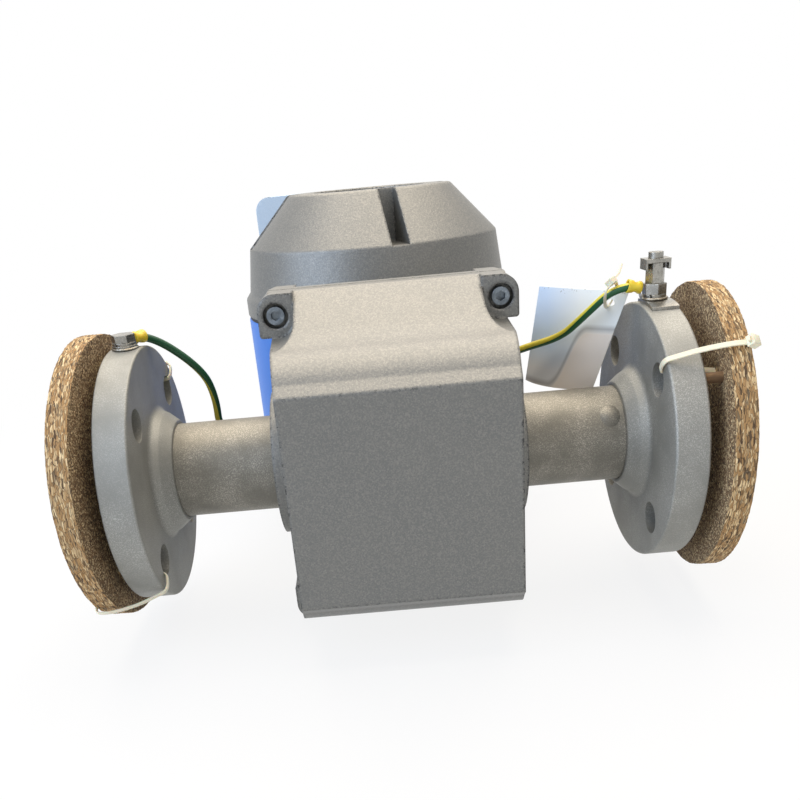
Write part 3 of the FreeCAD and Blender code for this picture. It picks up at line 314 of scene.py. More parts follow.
@dataclass(frozen=True)
class Polymer(Finish):
    """Moulded or extruded plastic or rubber with slight mottling and a skin texture."""

    mottle: str
    # A real skin is finer: it is drawn coarser, so that it shows
    skin_mm: float
    depth_mm: float
    coat: float = 0.0
    through: float = 0.0
    light_goes_mm: float = 1.0

    def detail(self, on: Ground) -> None:
        """Adds mottling, ten times as wide as the skin's texture, and that texture.

        Args:
            on: The material that gets them.
        """
        on.feed("Coat Weight", self.coat)
        on.feed("Subsurface Weight", self.through)
        on.feed("Subsurface Scale", mm(self.light_goes_mm))
        cloud = add(on.tree, "TexNoise",
                    {"Vector": on.where, "Scale": 100 / self.skin_mm, "Detail": 3.0})
        mottled = add(on.tree, "Mix", {0: cloud, 6: linear(self.colour), 7: linear(self.mottle)},
                      data_type="RGBA")
        on.feed("Base Color", mottled.outputs[2])
        on.ripple(self.skin_mm, self.depth_mm, strength=0.4)


@dataclass(frozen=True)
class ClearGlass(Finish):
    """Toughened window glass: clear, smooth and faintly green in its depth."""

    index: float = 1.52
    wave_mm: float = 30.0
    wave_depth_mm: float = 0.05

    def detail(self, on: Ground) -> None:
        """Makes the shader clear, with the faint waviness of rolled glass.

        Args:
            on: The material that gets it.
        """
        on.feed("Transmission Weight", 1.0)
        on.feed("IOR", self.index)
        on.ripple(self.wave_mm, self.wave_depth_mm, strength=0.1)


@dataclass(frozen=True)
class PressedChips(Finish):
    """Raw chipboard: thin strands round the sawn rim, fine chips on the faces, dark gaps."""

    pale: str
    gap: str
    face: str
    rim_mm: float = 72.0
    strand_mm: Pair = (3.2, 0.6)
    chip_mm: float = 0.7
    warp_mm: float = 4.0
    # How far the warp shifts strands, in strands along and across, and chips, in millimetres
    strand_shift: Triple = (1.6, 2.2, 0.0)
    chip_shift_mm: float = 3.0
    # How squarely a surface faces along the pipe where the rim ends and a face begins
    face_span: Pair = (0.75, 0.9)
    depth_mm: float = 0.35
    pale_span: Pair = (0.45, 0.95)
    deep_span: Pair = (0.3, 0.05)
    crack_span: Pair = (0.12, 0.0)

    def detail(self, on: Ground) -> None:
        """Adds strands, chips, gaps and their relief.

        Args:
            on: The material that gets them.
        """
        tree = on.tree
        split = add(tree, "SeparateXYZ", {0: on.where})
        turn = add(tree, "Math", {0: split.outputs[2], 1: split.outputs[1]}, operation="ARCTAN2")
        around = add(tree, "Math", {0: turn, 1: self.rim_mm / self.strand_mm[0]},
                     operation="MULTIPLY")
        across = add(tree, "Math", {0: split.outputs[0], 1: 1000 / self.strand_mm[1]},
                     operation="MULTIPLY")
        unrolled = add(tree, "CombineXYZ", {0: around, 1: across})
        warp = add(tree, "TexNoise",
                   {"Vector": on.where, "Scale": 1000 / self.warp_mm, "Detail": 3.0})
        plain = add(tree, "NewGeometry")
        facing = add(tree, "SeparateXYZ", {0: plain.outputs["Normal"]})
        flat = add(tree, "Math", {0: facing.outputs[0]}, operation="ABSOLUTE")
        on_face = add(tree, "MapRange", {0: flat, 1: self.face_span[0], 2: self.face_span[1],
                                         3: 0.0, 4: 1.0})
        tones = []
        gaps = []
        for place, shift, scale in (
                (unrolled, self.strand_shift, 1.0),
                (on.where, (mm(self.chip_shift_mm),) * 3, 1000 / self.chip_mm)):
            bent = add(tree, "VectorMath", {0: warp.outputs["Color"], 1: shift, 2: place},
                       operation="MULTIPLY_ADD")
            cell = add(tree, "TexVoronoi", {"Vector": bent, "Scale": scale})
            edge = add(tree, "TexVoronoi", {"Vector": bent, "Scale": scale},
                       feature="DISTANCE_TO_EDGE")
            tones.append(cell.outputs["Color"])
            gaps.append(edge)
        tone = add(tree, "Mix", {0: on_face, 6: tones[0], 7: tones[1]}, data_type="RGBA")
        gap = add(tree, "Mix", {0: on_face, 2: gaps[0], 3: gaps[1]})
        chance = add(tree, "SeparateColor", {0: tone.outputs[2]})
        body = add(tree, "Mix", {0: on_face, 6: linear(self.colour), 7: linear(self.face)},
                   data_type="RGBA")
        look = on.tint(body.outputs[2], chance.outputs[0], self.pale_span, self.pale, most=0.9)
        look = on.tint(look, chance.outputs[1], self.deep_span, self.gap, most=0.85)
        look = on.tint(look, gap, self.crack_span, self.gap, most=0.75)
        on.feed("Base Color", look)
        height = add(tree, "Math", {0: chance.outputs[2], 1: warp})
        bump = add(tree, "Bump", {"Strength": 0.8, "Distance": mm(self.depth_mm), "Height": height})
        on.feed("Normal", bump)


@dataclass(frozen=True)
class StripedSheath(Finish):
    """Extruded PVC wire insulation with a stripe of the second colour down its length."""

    stripe: str
    stripe_from: float = 0.05
    stripe_share: float = 0.42
    twist: float = 0.15
    stripe_blur: float = 0.03
    skin_mm: float = 1.5
    skin_depth_mm: float = 0.05

    def detail(self, on: Ground) -> None:
        """Adds the stripe that turns slowly round the wire.

        Args:
            on: The material that gets it.
        """
        tree = on.tree
        place = add(tree, "TexCoord")
        split = add(tree, "SeparateXYZ", {0: place.outputs["UV"]})
        turn = add(tree, "Math", {0: split.outputs[0], 1: self.twist, 2: split.outputs[1]},
                   operation="MULTIPLY_ADD")
        moved = add(tree, "Math", {0: turn, 1: 1.0 - self.stripe_from})
        part = add(tree, "Math", {0: moved}, operation="FRACT")
        on.feed("Base Color", on.tint(linear(self.stripe), part,
                                      (self.stripe_share, self.stripe_share + self.stripe_blur),
                                      self.colour))
        on.ripple(self.skin_mm, self.skin_depth_mm, strength=0.2)


@dataclass(frozen=True)
class TagFilm(Finish):
    """Laminated card in clear film: pale above; below a dark slanting line of painted shade along
    its fold, a sand-coloured painted reflection of the floor; aside, a bluish painted reflection of
    the sky.
    """

    # Colours: the painted reflection of the floor, the painted shade along the fold, which also
    # colours the specks, the painted reflection of the sky, and the grey of the lower part
    sandy: str
    fold: str
    blue: str
    grey: str
    fold_x_mm: Pair = (222.0, 241.0)
    fold_z_mm: Pair = (21.0, 51.0)
    # Where the painted reflection of the sky ends along the pipe, and how soft its edge is
    blue_to_mm: float = 232.0
    blue_blur_mm: float = 7.0
    grey_z_mm: Pair = (40.0, 28.0)
    # How softly the painted reflection of the floor begins under the fold, and half the width of
    # the painted shade along the fold
    sandy_blur_mm: float = 3.0
    fold_half_mm: float = 2.4
    speck_mm: float = 1.1
    speck_z_mm: Pair = (54.0, 68.0)
    speck_span: Pair = (0.64, 0.69)
    wave_mm: float = 18.0
    wave_depth_mm: float = 0.8

    def detail(self, on: Ground) -> None:
        """Adds the painted reflections of the sky and the floor, the greyer lower part, painted
        shade along the fold, specks and the film's soft waves.

        Args:
            on: The material that gets them.
        """
        tree = on.tree
        split = add(tree, "SeparateXYZ", {0: on.where})
        along, height = split.outputs[0], split.outputs[2]
        fold = add(tree, "MapRange", {0: along, 1: mm(self.fold_x_mm[0]), 2: mm(self.fold_x_mm[1]),
                                      3: mm(self.fold_z_mm[0]), 4: mm(self.fold_z_mm[1])},
                   interpolation_type="SMOOTHSTEP")
        away = add(tree, "Math", {0: height, 1: fold}, operation="SUBTRACT")
        near = add(tree, "Math", {0: away}, operation="ABSOLUTE")
        grime = add(tree, "TexNoise",
                    {"Vector": on.where, "Scale": 1000 / self.speck_mm, "Detail": 2.0})
        high = add(tree, "MapRange",
                   {0: height, 1: mm(self.speck_z_mm[0]), 2: mm(self.speck_z_mm[1]),
                    3: 0.0, 4: 1.0})
        dirt = add(tree, "Math", {0: grime, 1: high}, operation="MULTIPLY")
        blue_span = (mm(self.blue_to_mm + self.blue_blur_mm),
                     mm(self.blue_to_mm - self.blue_blur_mm))
        grey_span = (mm(self.grey_z_mm[0]), mm(self.grey_z_mm[1]))
        # Painted reflection of the sky to one side, a greyer lower part, painted reflection of the
        # floor below the fold and painted shade along the fold
        look = on.tint(linear(self.colour), along, blue_span, self.blue)
        look = on.tint(look, height, grey_span, self.grey, most=0.8)
        look = on.tint(look, away, (0.0, mm(-self.sandy_blur_mm)), self.sandy)
        look = on.tint(look, near, (mm(self.fold_half_mm), 0.0), self.fold, most=0.6)
        look = on.tint(look, dirt, self.speck_span, self.fold, most=0.7)
        on.feed("Base Color", look)
        on.ripple(self.wave_mm, self.wave_depth_mm, strength=0.5)


# Aluminium casting sprayed with silver flake paint: a soft metal sheen with tiny sparks
SILVER_PAINT = FlakePaint("silver_flake_paint", "#747470", 0.65, 0.46, "#6D6E6C", "#94918A",
                          "#1D1E20", peel_mm=1.3, peel_depth_mm=0.2, edge_mm=2.2, chip_mm=1.8,
                          chip_share=0.525)
# The same kind of paint on the terminal box, in a paler, bluer silver that is a painted reflection
# of the sky
PALE_PAINT = FlakePaint("pale_silver_paint", "#B9CAD9", 0.2, 0.45, "#B2C3D2", "#C8D6E2",
                        "#3A3F45", flake_share=0.3, peel_mm=1.3, peel_depth_mm=0.15, chip_share=0.6)
# Satin two-pack enamel on the housing: clean saturated blue with a soft highlight
BLUE_PAINT = FlakePaint("blue_enamel", "#2F73C8", 0.1, 0.45, "#2C6EC0", "#3D80D0", "#22344A",
                        patch_mm=60.0, flake_share=0.3, peel_depth_mm=0.03, chip_share=0.6)
# Stainless steel blasted with coarse grit: a dull grey with a salt-and-pepper grain
BLASTED_STEEL = WorkedMetal("blasted_stainless", "#8A8A84", 0.5, 0.58, "#B4B3AC", "#7E7E78",
                            grit_mm=0.5, stain_mm=26.0, depth_mm=0.08)
# Pickled stainless pipe: darker and browner than the flanges, with nearly the same grain
PIPE_STEEL = WorkedMetal("pickled_stainless", "#7A776E", 0.6, 0.52, "#B4B0A4", "#6E6B62",
                         grit_mm=0.55, stain_mm=16.0, depth_mm=0.08)
# Turned stainless fittings: brighter, with shallow tool marks
BRIGHT_STEEL = WorkedMetal("turned_stainless", "#A7A59E", 1.0, 0.32, "#8D8B85", "#7F7D77",
                           grit_mm=0.9, stain_mm=7.0, depth_mm=0.03)
# Zinc-plated and passivated steel: bluish mid grey with a soft glint
DARK_STEEL = WorkedMetal("passivated_steel", "#788189", 0.9, 0.42, "#939A9F", "#5A6065",
                         grit_mm=0.8, stain_mm=4.0, depth_mm=0.04)
# Tinned copper lug: pale and slightly greyed
TINNED_COPPER = WorkedMetal("tinned_copper", "#B3B1A8", 1.0, 0.35, "#918F88", "#A0937F",
                            grit_mm=0.7, stain_mm=5.0, depth_mm=0.03)
# Fluoropolymer liner: milky white and waxy
LINER = Polymer("moulded_fluoropolymer", "#DEDDD6", 0.0, 0.4, "#CFCEC6", skin_mm=2.0,
                depth_mm=0.05, through=0.1)
# Nitrile rubber seal: near black and matte
SEAL = Polymer("nitrile_rubber", "#1B1B1C", 0.0, 0.7, "#242425", skin_mm=0.8, depth_mm=0.04)
# Toughened glass of the window: clear with sharp reflections
GLASS = ClearGlass("toughened_glass", "#E6F0EC", 0.0, 0.03)
# Enamelled copper winding: orange-brown with its turns as fine ridges
COPPER = WorkedMetal("enamelled_copper", "#B0602E", 0.9, 0.35, "#8A4420", "#C27A44",
                     grit_mm=0.8, stain_mm=9.0, depth_mm=0.1, stretch=(0.2, 1.0, 0.2))
# Glass-epoxy circuit board under solder mask: deep green with a soft gloss
BOARD = Polymer("solder_mask", "#14502F", 0.0, 0.3, "#0F3F26", skin_mm=0.9, depth_mm=0.05, coat=0.4)
# Moulded black polycarbonate: even and satin, with a spark-eroded skin
BLACK_PLASTIC = Polymer("black_polycarbonate", "#202124", 0.0, 0.45, "#2A2B2E", skin_mm=0.8,
                        depth_mm=0.05)
# Moulded grey polyamide: even, and duller than the black
GREY_PLASTIC = Polymer("grey_polyamide", "#747679", 0.0, 0.5, "#6B6D70", skin_mm=0.8, depth_mm=0.06)
# Liquid-crystal display behind its polariser: grey-green with a clear top coat
SCREEN = Polymer("display_polariser", "#8B9884", 0.0, 0.15, "#7F8C78", skin_mm=3.0,
                 depth_mm=0.01, coat=1.0)
# Soft PVC sleeve over the crimp: clear yellow, slightly translucent
YELLOW_SLEEVE = Polymer("yellow_vinyl_sleeve", "#E8CE3C", 0.0, 0.35, "#DDBF2C", skin_mm=1.0,
                        depth_mm=0.05, through=0.15)
# PVC insulation of the outlet wire: dark green with a yellow stripe and a soft gloss
WIRE_SHEATH = StripedSheath("green_yellow_insulation", "#17562F", 0.0, 0.4, "#CFC03E")
# The same insulation on the inlet wire, its green and stripe darker as painted shade, whose stripe
# starts on its far side
INLET_SHEATH = StripedSheath("green_yellow_insulation_inlet", "#134B2A", 0.0, 0.4, "#BDB23E",
                             stripe_from=0.79, twist=0.48)
# Raw chipboard: tan strands with dark gaps, browner and finer on its faces
CHIPBOARD = PressedChips("raw_chipboard", "#A58152", 0.0, 0.85, "#E2C898", "#2E2017", "#785C3C")
# Split beech peg: dull brown with its grain drawn out along its length
PEG_WOOD = WorkedMetal("split_beech", "#6E5336", 0.0, 0.75, "#8A6C48", "#523C26",
                       grit_mm=1.0, stain_mm=6.0, depth_mm=0.1, stretch=(0.15, 1.0, 1.0))
# Laminated card tag under dull film: pale, with painted reflections of the sky and the floor and
# painted shade along its fold
TAG_FILM = TagFilm("laminated_card", "#EEF2F0", 0.0, 0.6, "#EFE5D8", "#8A8680", "#CFE0F2",
                   "#E4E1DD")
# Natural nylon of the cable ties: creamy and a little translucent
NYLON = Polymer("natural_nylon", "#E4DFC6", 0.0, 0.4, "#D9D3B8", skin_mm=1.2, depth_mm=0.04,
                through=0.2)


# Making and dressing pieces

# Steps along a curve between two of its points, and in a quarter of its round section
CURVE_STEPS = 14
ROUND_STEPS = 6


def dress(finish: Finish, *names: str) -> None:
    """Gives CAD pieces a finish.

    Args:
        finish: The finish.
        *names: The pieces' names.
    """
    for name in names:
        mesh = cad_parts[name].data
        mesh.materials.clear()
        mesh.materials.append(finish.material())
        log.info("%s: %s", name, finish.name)


def settle(piece: bpy.types.Object, finish: Finish, body: str = "meter",
           stands_for: Names = ()) -> bpy.types.Object:
    """Dresses a new piece and fixes it to its body.

    Args:
        piece: The new piece, in its place.
        finish: Its finish.
        body: The body that carries it.
        stands_for: CAD pieces that it replaces.

    Returns:
        The same piece.
    """
    piece.data.materials.append(finish.material())
    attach(piece, body)
    if stands_for:
        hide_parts(*stands_for)
    log.info("%s: %s, on %s", piece.name, finish.name, body)
    return piece


def mesh_piece(name: str, shape: bmesh.types.BMesh, flat_from: float = 35.0) -> bpy.types.Object:
    """Turns a bmesh to a piece with smooth faces and sharp edges where it turns strongly.

    Args:
        name: The piece's name.
        shape: The mesh, which is freed.
        flat_from: The turn in degrees from which an edge stays sharp.

    Returns:
        The piece.
    """
    bmesh.ops.recalc_face_normals(shape, faces=shape.faces)
    mesh = bpy.data.meshes.new(name)
    shape.to_mesh(mesh)
    shape.free()
    mesh.shade_smooth()
    mesh.set_sharp_from_angle(angle=math.radians(flat_from))
    piece = bpy.data.objects.new(name, mesh)
    bpy.context.scene.collection.objects.link(piece)
    return piece


def curve_line(name: str, points: list[Vector], closed: bool = False,
               thick: float = 0.0) -> bpy.types.Object:
    """Makes a smooth curve that the points steer.

    Args:
        name: The curve's name.
        points: Its control points in metres.
        closed: Whether it ends where it starts.
        thick: Its radius in metres, or 0 for a bare line.

    Returns:
        The curve object.
    """
    curve = bpy.data.curves.new(name, "CURVE")
    curve.dimensions = "3D"
    curve.resolution_u = CURVE_STEPS
    curve.bevel_depth = thick
    curve.bevel_resolution = ROUND_STEPS
    curve.use_fill_caps = True
    spline = curve.splines.new("NURBS")
    spline.points.add(len(points) - 1)
    for knot, place in zip(spline.points, points):
        knot.co = (*place, 1.0)
    spline.order_u = 3
    spline.use_cyclic_u = closed
    spline.use_endpoint_u = not closed
    piece = bpy.data.objects.new(name, curve)
    bpy.context.scene.collection.objects.link(piece)
    return piece


def line_points(line: bpy.types.Object) -> list[Vector]:
    """Reads the points along a bare curve and deletes it.

    Args:
        line: A curve with no thickness.

    Returns:
        Its points in order.
    """
    mesh = bpy.data.meshes.new_from_object(line)
    places = [vertex.co.copy() for vertex in mesh.vertices]
    bpy.data.objects.remove(line)
    bpy.data.meshes.remove(mesh)
    return places


def loft(shape: bmesh.types.BMesh, rings: list[list[Vector]], closed: bool = False) -> None:
    """Joins rings of equally many points to a skin.

    Args:
        shape: The mesh that gets it.
        rings: The rings in order.
        closed: Whether the last ring joins the first; otherwise both ends are capped.
    """
    rows = [[shape.verts.new(place) for place in ring] for ring in rings]
    count = len(rings[0])
    pairs = list(zip(rows, rows[1:]))
    if closed:
        pairs.append((rows[-1], rows[0]))
    for low, high in pairs:
        for i in range(count):
            j = (i + 1) % count
            shape.faces.new((low[i], low[j], high[j], high[i]))
    if not closed:
        shape.faces.new(rows[0])
        shape.faces.new(rows[-1])


def circle(centre: Vector, across: Vector, up: Vector, width: float, height: float,
           count: int = 32) -> list[Vector]:
    """Gives the points of an ellipse.

    Args:
        centre: Its middle.
        across: Unit vector of its width.
        up: Unit vector of its height.
        width: Half its width.
        height: Half its height.
        count: How many points.

    Returns:
        The points in order.
    """
    turns = [2 * math.pi * i / count for i in range(count)]
    return [centre + across * (width * math.cos(t)) + up * (height * math.sin(t)) for t in turns]


# The meter's own pieces

Looks = tuple[tuple[Finish, Names], ...]


@dataclass
class CadPart:
    """A sub-assembly whose pieces are all CAD's own, with what each finish dresses."""

    looks: Looks = ()

    def build(self) -> None:
        """Dresses every piece."""
        for finish, names in self.looks:
            dress(finish, *names)


@dataclass
class SensorShells(CadPart):
    """The two cast halves round the measuring tube, with their screws and seals."""

    looks: Looks = (
        (SILVER_PAINT, ("shell_front", "shell_back")), (DARK_STEEL, ("shell_screws",)),
        (SEAL, ("shell_gasket", "tube_seals")))


@dataclass
class FlowTube(CadPart):
    """The pipe with its flanges, liner, coils and electrodes."""

    looks: Looks = (
        (BLASTED_STEEL, ("flange_inlet", "flange_outlet")), (PIPE_STEEL, ("measuring_tube",)),
        (LINER, ("tube_liner",)), (COPPER, ("coil_front", "coil_back")),
        (DARK_STEEL, ("pole_shoes", "magnet_yoke")), (BRIGHT_STEEL, ("electrodes",)))


@dataclass
class Transmitter(CadPart):
    """The round housing with its caps, window and electronics."""

    looks: Looks = (
        (BLUE_PAINT, ("transmitter_housing",)), (SILVER_PAINT, ("front_cap", "rear_cap")),
        (SEAL, ("neck_seal", "front_cap_seal", "rear_cap_seal", "window_seal")),
        (DARK_STEEL, ("neck_screws",)), (GLASS, ("window_glass",)),
        (BLACK_PLASTIC, ("window_ring", "display_module", "terminal_block")),
        (GREY_PLASTIC, ("electronics_carrier",)), (BOARD, ("main_board",)),
        (SCREEN, ("display_screen",)))


@dataclass
class TerminalBox(CadPart):
    """The box behind the transmitter with its lid and cable glands."""

    looks: Looks = (
        (PALE_PAINT, ("terminal_box", "terminal_box_lid")),
        (BLACK_PLASTIC, ("gland_lower_body", "gland_upper_body", "gland_lower_nut",
                         "gland_upper_nut")),
        (SEAL, ("lid_seal", "gland_lower_seal", "gland_upper_seal")),
        (DARK_STEEL, ("lid_screws",)))


@dataclass
class RingLug:
    """A crimped ring lug whose barrel wears a yellow sleeve, standing for one CAD lug."""

    name: str
    eye: Vector
    normal: Vector
    barrel_way: Vector
    lift: float
    rise: float
    ring_r: float = mm(6.5)
    hole_r: float = mm(3.3)
    sheet: float = mm(1.0)
    reach: float = mm(6.4)
    barrel_r: float = mm(3.3)
    barrel_length: float = mm(7.0)
    tongue_half: float = mm(2.2)
    edge_share: float = 0.25
    ring_steps: int = 48
    # The sleeve's skin from its root round its lip and back in: the share of its length, and
    # the shares of its width and height
    sleeve_stations: tuple[Triple, ...] = (
        (0.0, 0.80, 0.80), (0.04, 0.90, 0.88), (0.2, 0.97, 0.92), (0.34, 1.0, 0.74),
        (0.52, 1.0, 0.72), (0.64, 0.97, 0.9), (0.8, 0.95, 0.95), (0.95, 1.0, 1.0),
        (1.0, 0.97, 0.97), (0.99, 0.7, 0.7), (0.8, 0.62, 0.62))

    def build(self) -> bpy.types.Object:
        """Makes the metal and the sleeve.

        Returns:
            The sleeve, which lies on the wire.
        """
        side = self.normal.cross(self.barrel_way)
        shape = bmesh.new()
        soft = self.sheet * self.edge_share
        levels = ((0, soft), (soft, 0), (self.sheet - soft, 0), (self.sheet, soft))
        walls = [(up, self.ring_r - inset) for up, inset in levels]
        walls += [(up, self.hole_r + inset) for up, inset in reversed(levels)]
        loft(shape, [circle(self.eye + self.normal * up, self.barrel_way, side, r, r,
                            self.ring_steps) for up, r in walls], closed=True)
        top = self.lift + self.barrel_r
        foot = self.reach - self.sheet
        # How far out, how high and what share of the tongue's width each station has
        stations = ((self.ring_r * 0.75, 0.0, 1.0), (foot, 0.0, 0.9),
                    (self.reach, self.sheet * 0.6, 0.9), (self.reach + self.sheet, top * 0.7, 1.0),
                    (self.reach + 2 * self.sheet, top, 1.1))
        tongue = []
        for along, up, wide in stations:
            low = self.eye + self.barrel_way * along + self.normal * up
            half = side * (self.tongue_half * wide)
            rise = self.normal * self.sheet
            tongue.append([low - half, low + half, low + half + rise, low - half + rise])
        loft(shape, tongue)
        metal = mesh_piece(self.name + "_metal", shape)
        settle(metal, TINNED_COPPER, stands_for=(self.name,))
        return self.sleeve(side, top)

    def sleeve(self, side: Vector, top: float) -> bpy.types.Object:
        """Makes the crimped sleeve, pinched flat in its middle and flared at its mouth.

        Args:
            side: Unit vector across the lug.
            top: Height of the barrel's axis over the ring.

        Returns:
            The sleeve.
        """
        way = (self.barrel_way + self.normal * self.rise).normalized()
        up = side.cross(way)
        start = self.eye + self.barrel_way * self.reach + self.normal * top
        shape = bmesh.new()
        loft(shape, [circle(start + way * (self.barrel_length * part), side, up,
                            self.barrel_r * wide, self.barrel_r * high)
                     for part, wide, high in self.sleeve_stations])
        piece = mesh_piece(self.name + "_sleeve", shape, flat_from=70.0)
        return settle(piece, YELLOW_SLEEVE)


@dataclass
class EarthConnection:
    """The earth terminals on both flanges, their lugs and the two wires to the back shell."""

    wire_r: float = mm(2.0)
    inlet_length: float = mm(129.2)
    outlet_length: float = mm(93.1)
    bolts: Names = ("earth_washer_inlet", "spring_washer_inlet", "earth_bolt_inlet",
                    "spring_washer_outlet", "terminal_nut", "terminal_post",
                    "terminal_clamp", "terminal_screw", "terminal_plate")
    shell_screws: Names = ("earth_screw_shell_inlet", "earth_screw_shell_outlet")
    # The wires' control points in millimetres, from each flange to the back shell
    inlet_route: tuple[Triple, ...] = (
        (11.9, 6.8, 68.7), (17.2, 15.9, 68.2), (38.2, 26.0, 46.6), (42.0, 32.0, 29.5),
        (39.9, 38.0, 8.0), (65.9, 44.0, -10.2), (77.0, 44.0, -22.6))
    outlet_route: tuple[Triple, ...] = (
        (260.4, 0.0, 72.2), (250.0, 0.0, 74.3), (235.8, 13.0, 57.0), (228.3, 24.5, 46.6),
        (210.0, 40.9, 38.9), (198.6, 48.7, 33.0))

    def lugs(self) -> dict[str, RingLug]:
        """Gives the four lugs in their places.

        Returns:
            The lugs by the end of the wire that each holds.
        """
        up = Vector((0, 0, 1))
        left = Vector((-1, 0, 0))
        return {
            "inlet": RingLug("earth_lug_inlet", point(8.0, 0, 64.7), up,
                             Vector((0.5, 0.87, 0)).normalized(), mm(0.8), -0.05),
            "shell_inlet": RingLug("earth_lug_shell_inlet", point(81.77, 44.0, -30.0), left, up,
                                   mm(0.5), 0.9, hole_r=mm(2.3)),
            "outlet": RingLug("earth_lug_outlet", point(268.2, 0, 66.2), up, left, mm(2.4), 0.2),
            "shell_outlet": RingLug("earth_lug_shell_outlet", point(193.79, 54.6, 28.6), -left,
                                    Vector((0, -0.8, 0.6)), mm(0.5), 1.15, hole_r=mm(2.3)),
        }

    def build(self) -> None:
        """Makes the wires and lugs and dresses the fasteners."""
        sleeves = {name: lug.build() for name, lug in self.lugs().items()}
        for name, places, length, sheath, ends in (
                ("earth_wire_inlet", self.inlet_route, self.inlet_length, INLET_SHEATH,
                 ("inlet", "shell_inlet")),
                ("earth_wire_outlet", self.outlet_route, self.outlet_length, WIRE_SHEATH,
                 ("outlet", "shell_outlet"))):
            route = [point(*place) for place in places]
            wire = curve_line(name + "_sheath", route, thick=self.wire_r)
            settle(wire, sheath, stands_for=(name,))
        dress(BRIGHT_STEEL, *self.bolts, *self.shell_screws)


@dataclass
class ShippingDisc:
    """A chipboard disc tied before a flange, with a torn rim, standing for one CAD disc."""

    way: Way
    face_x: float
    lean: float
    hole_turns: tuple[float, ...]
    seed: float
    radius: float = mm(72.2)
    thick: float = mm(10.0)
    hole_r: float = mm(4.0)
    hole_circle_r: float = mm(49.2)
    tear: float = mm(0.6)
    steps_round: int = 900
    steps_thick: int = 18
    hole_steps: int = 40
    # Shares of the radius at which each face has a ring
    face_rings: tuple[float, ...] = (0.02, 0.3, 0.6, 0.85, 0.95, 0.98)
    # The tear's noise: how fast it turns round the rim, then each layer's pace round and
    # through the board and its weight, from long strands to crumbs
    noise_round: float = 7.0
    noise_layers: tuple[Triple, ...] = (
        (2.2, 9.0, 0.5), (6.0, 16.0, 0.45), (17.0, 30.0, 0.3))
    torn_share: float = 0.35
    corner_from: float = 0.44
    corner_wear: float = 2.4

    def name(self) -> str:
        """Gives the CAD disc's name."""
        return "disc_" + self.way.name.lower()

    def place(self) -> Matrix:
        """Gives the disc's place: its thickness runs outward along X and it leans about Z.

        Returns:
            The matrix from the disc's own frame to the meter's.
        """
        turn = Matrix.Rotation(math.radians(self.lean), 4, "Z")
        flip = Matrix.Diagonal((self.way.value, 1, 1, 1))
        return Matrix.Translation((self.face_x, 0, 0)) @ turn @ flip

    def torn_radius(self, angle: float, depth: float) -> float:
        """Gives the rim's radius where flakes are missing.

        Args:
            angle: The turn round the disc in radians.
            depth: The height in the board's thickness, from 0 to 1.

        Returns:
            The radius in metres.
        """
        around = Vector((math.cos(angle), math.sin(angle), 0)) * self.noise_round
        lost = self.torn_share
        for pace, through, weight in self.noise_layers:
            layer = Vector((0, 0, self.seed + depth * through))
            lost += weight * noise.noise(around * pace + layer)
        corner = max(0.0, abs(depth - 0.5) - self.corner_from) * self.corner_wear
        return self.radius - self.tear * min(1.0, max(0.0, lost) + corner)

    def ring(self, depth: float, radii: list[float]) -> list[Vector]:
        """Gives the points of one ring of the disc's skin.

        Args:
            depth: The height in the board's thickness, from 0 to 1.
            radii: The radius at each step round, in metres.

        Returns:
            The points in order.
        """
        return [Vector((self.thick * depth, r * math.cos(a), r * math.sin(a)))
                for a, r in zip(self.turns(), radii)]

    def turns(self) -> list[float]:
        """Gives the angle of each step round, in radians."""
        return [2 * math.pi * i / self.steps_round for i in range(self.steps_round)]

    def build(self) -> None:
        """Makes the disc and drills it."""
        shape = bmesh.new()
        faces = [[part * self.radius] * self.steps_round for part in self.face_rings]
        rings = [self.ring(0.0, radii) for radii in faces]
        for level in range(self.steps_thick + 1):
            depth = level / self.steps_thick
            rings.append(self.ring(depth, [self.torn_radius(a, depth) for a in self.turns()]))
        rings += [self.ring(1.0, radii) for radii in reversed(faces)]
        loft(shape, rings)
        shape.transform(self.place())
        disc = mesh_piece(self.name() + "_board", shape, flat_from=50.0)
        for turn in self.hole_turns:
            self.drill(disc, math.radians(turn))
        settle(disc, CHIPBOARD, stands_for=(self.name(),))

    def drill(self, disc: bpy.types.Object, turn: float) -> None:
        """Cuts one tie hole through the disc.

        Args:
            disc: The disc.
            turn: The hole's angle from +Y toward +Z in radians.
        """
        shape = bmesh.new()
        centre = Vector((0, math.cos(turn), math.sin(turn))) * self.hole_circle_r
        rings = [circle(centre + Vector((x, 0, 0)), Vector((0, 1, 0)), Vector((0, 0, 1)),
                        self.hole_r, self.hole_r, self.hole_steps)
                 for x in (-self.thick, 2 * self.thick)]
        loft(shape, rings)
        shape.transform(self.place())
        drill = mesh_piece("drill", shape)
        cut = disc.modifiers.new("hole", "BOOLEAN")
        cut.operation = "DIFFERENCE"
        cut.solver = "EXACT"
        cut.object = drill
        bpy.context.view_layer.objects.active = disc
        bpy.ops.object.modifier_apply(modifier=cut.name)
        bpy.data.objects.remove(drill)


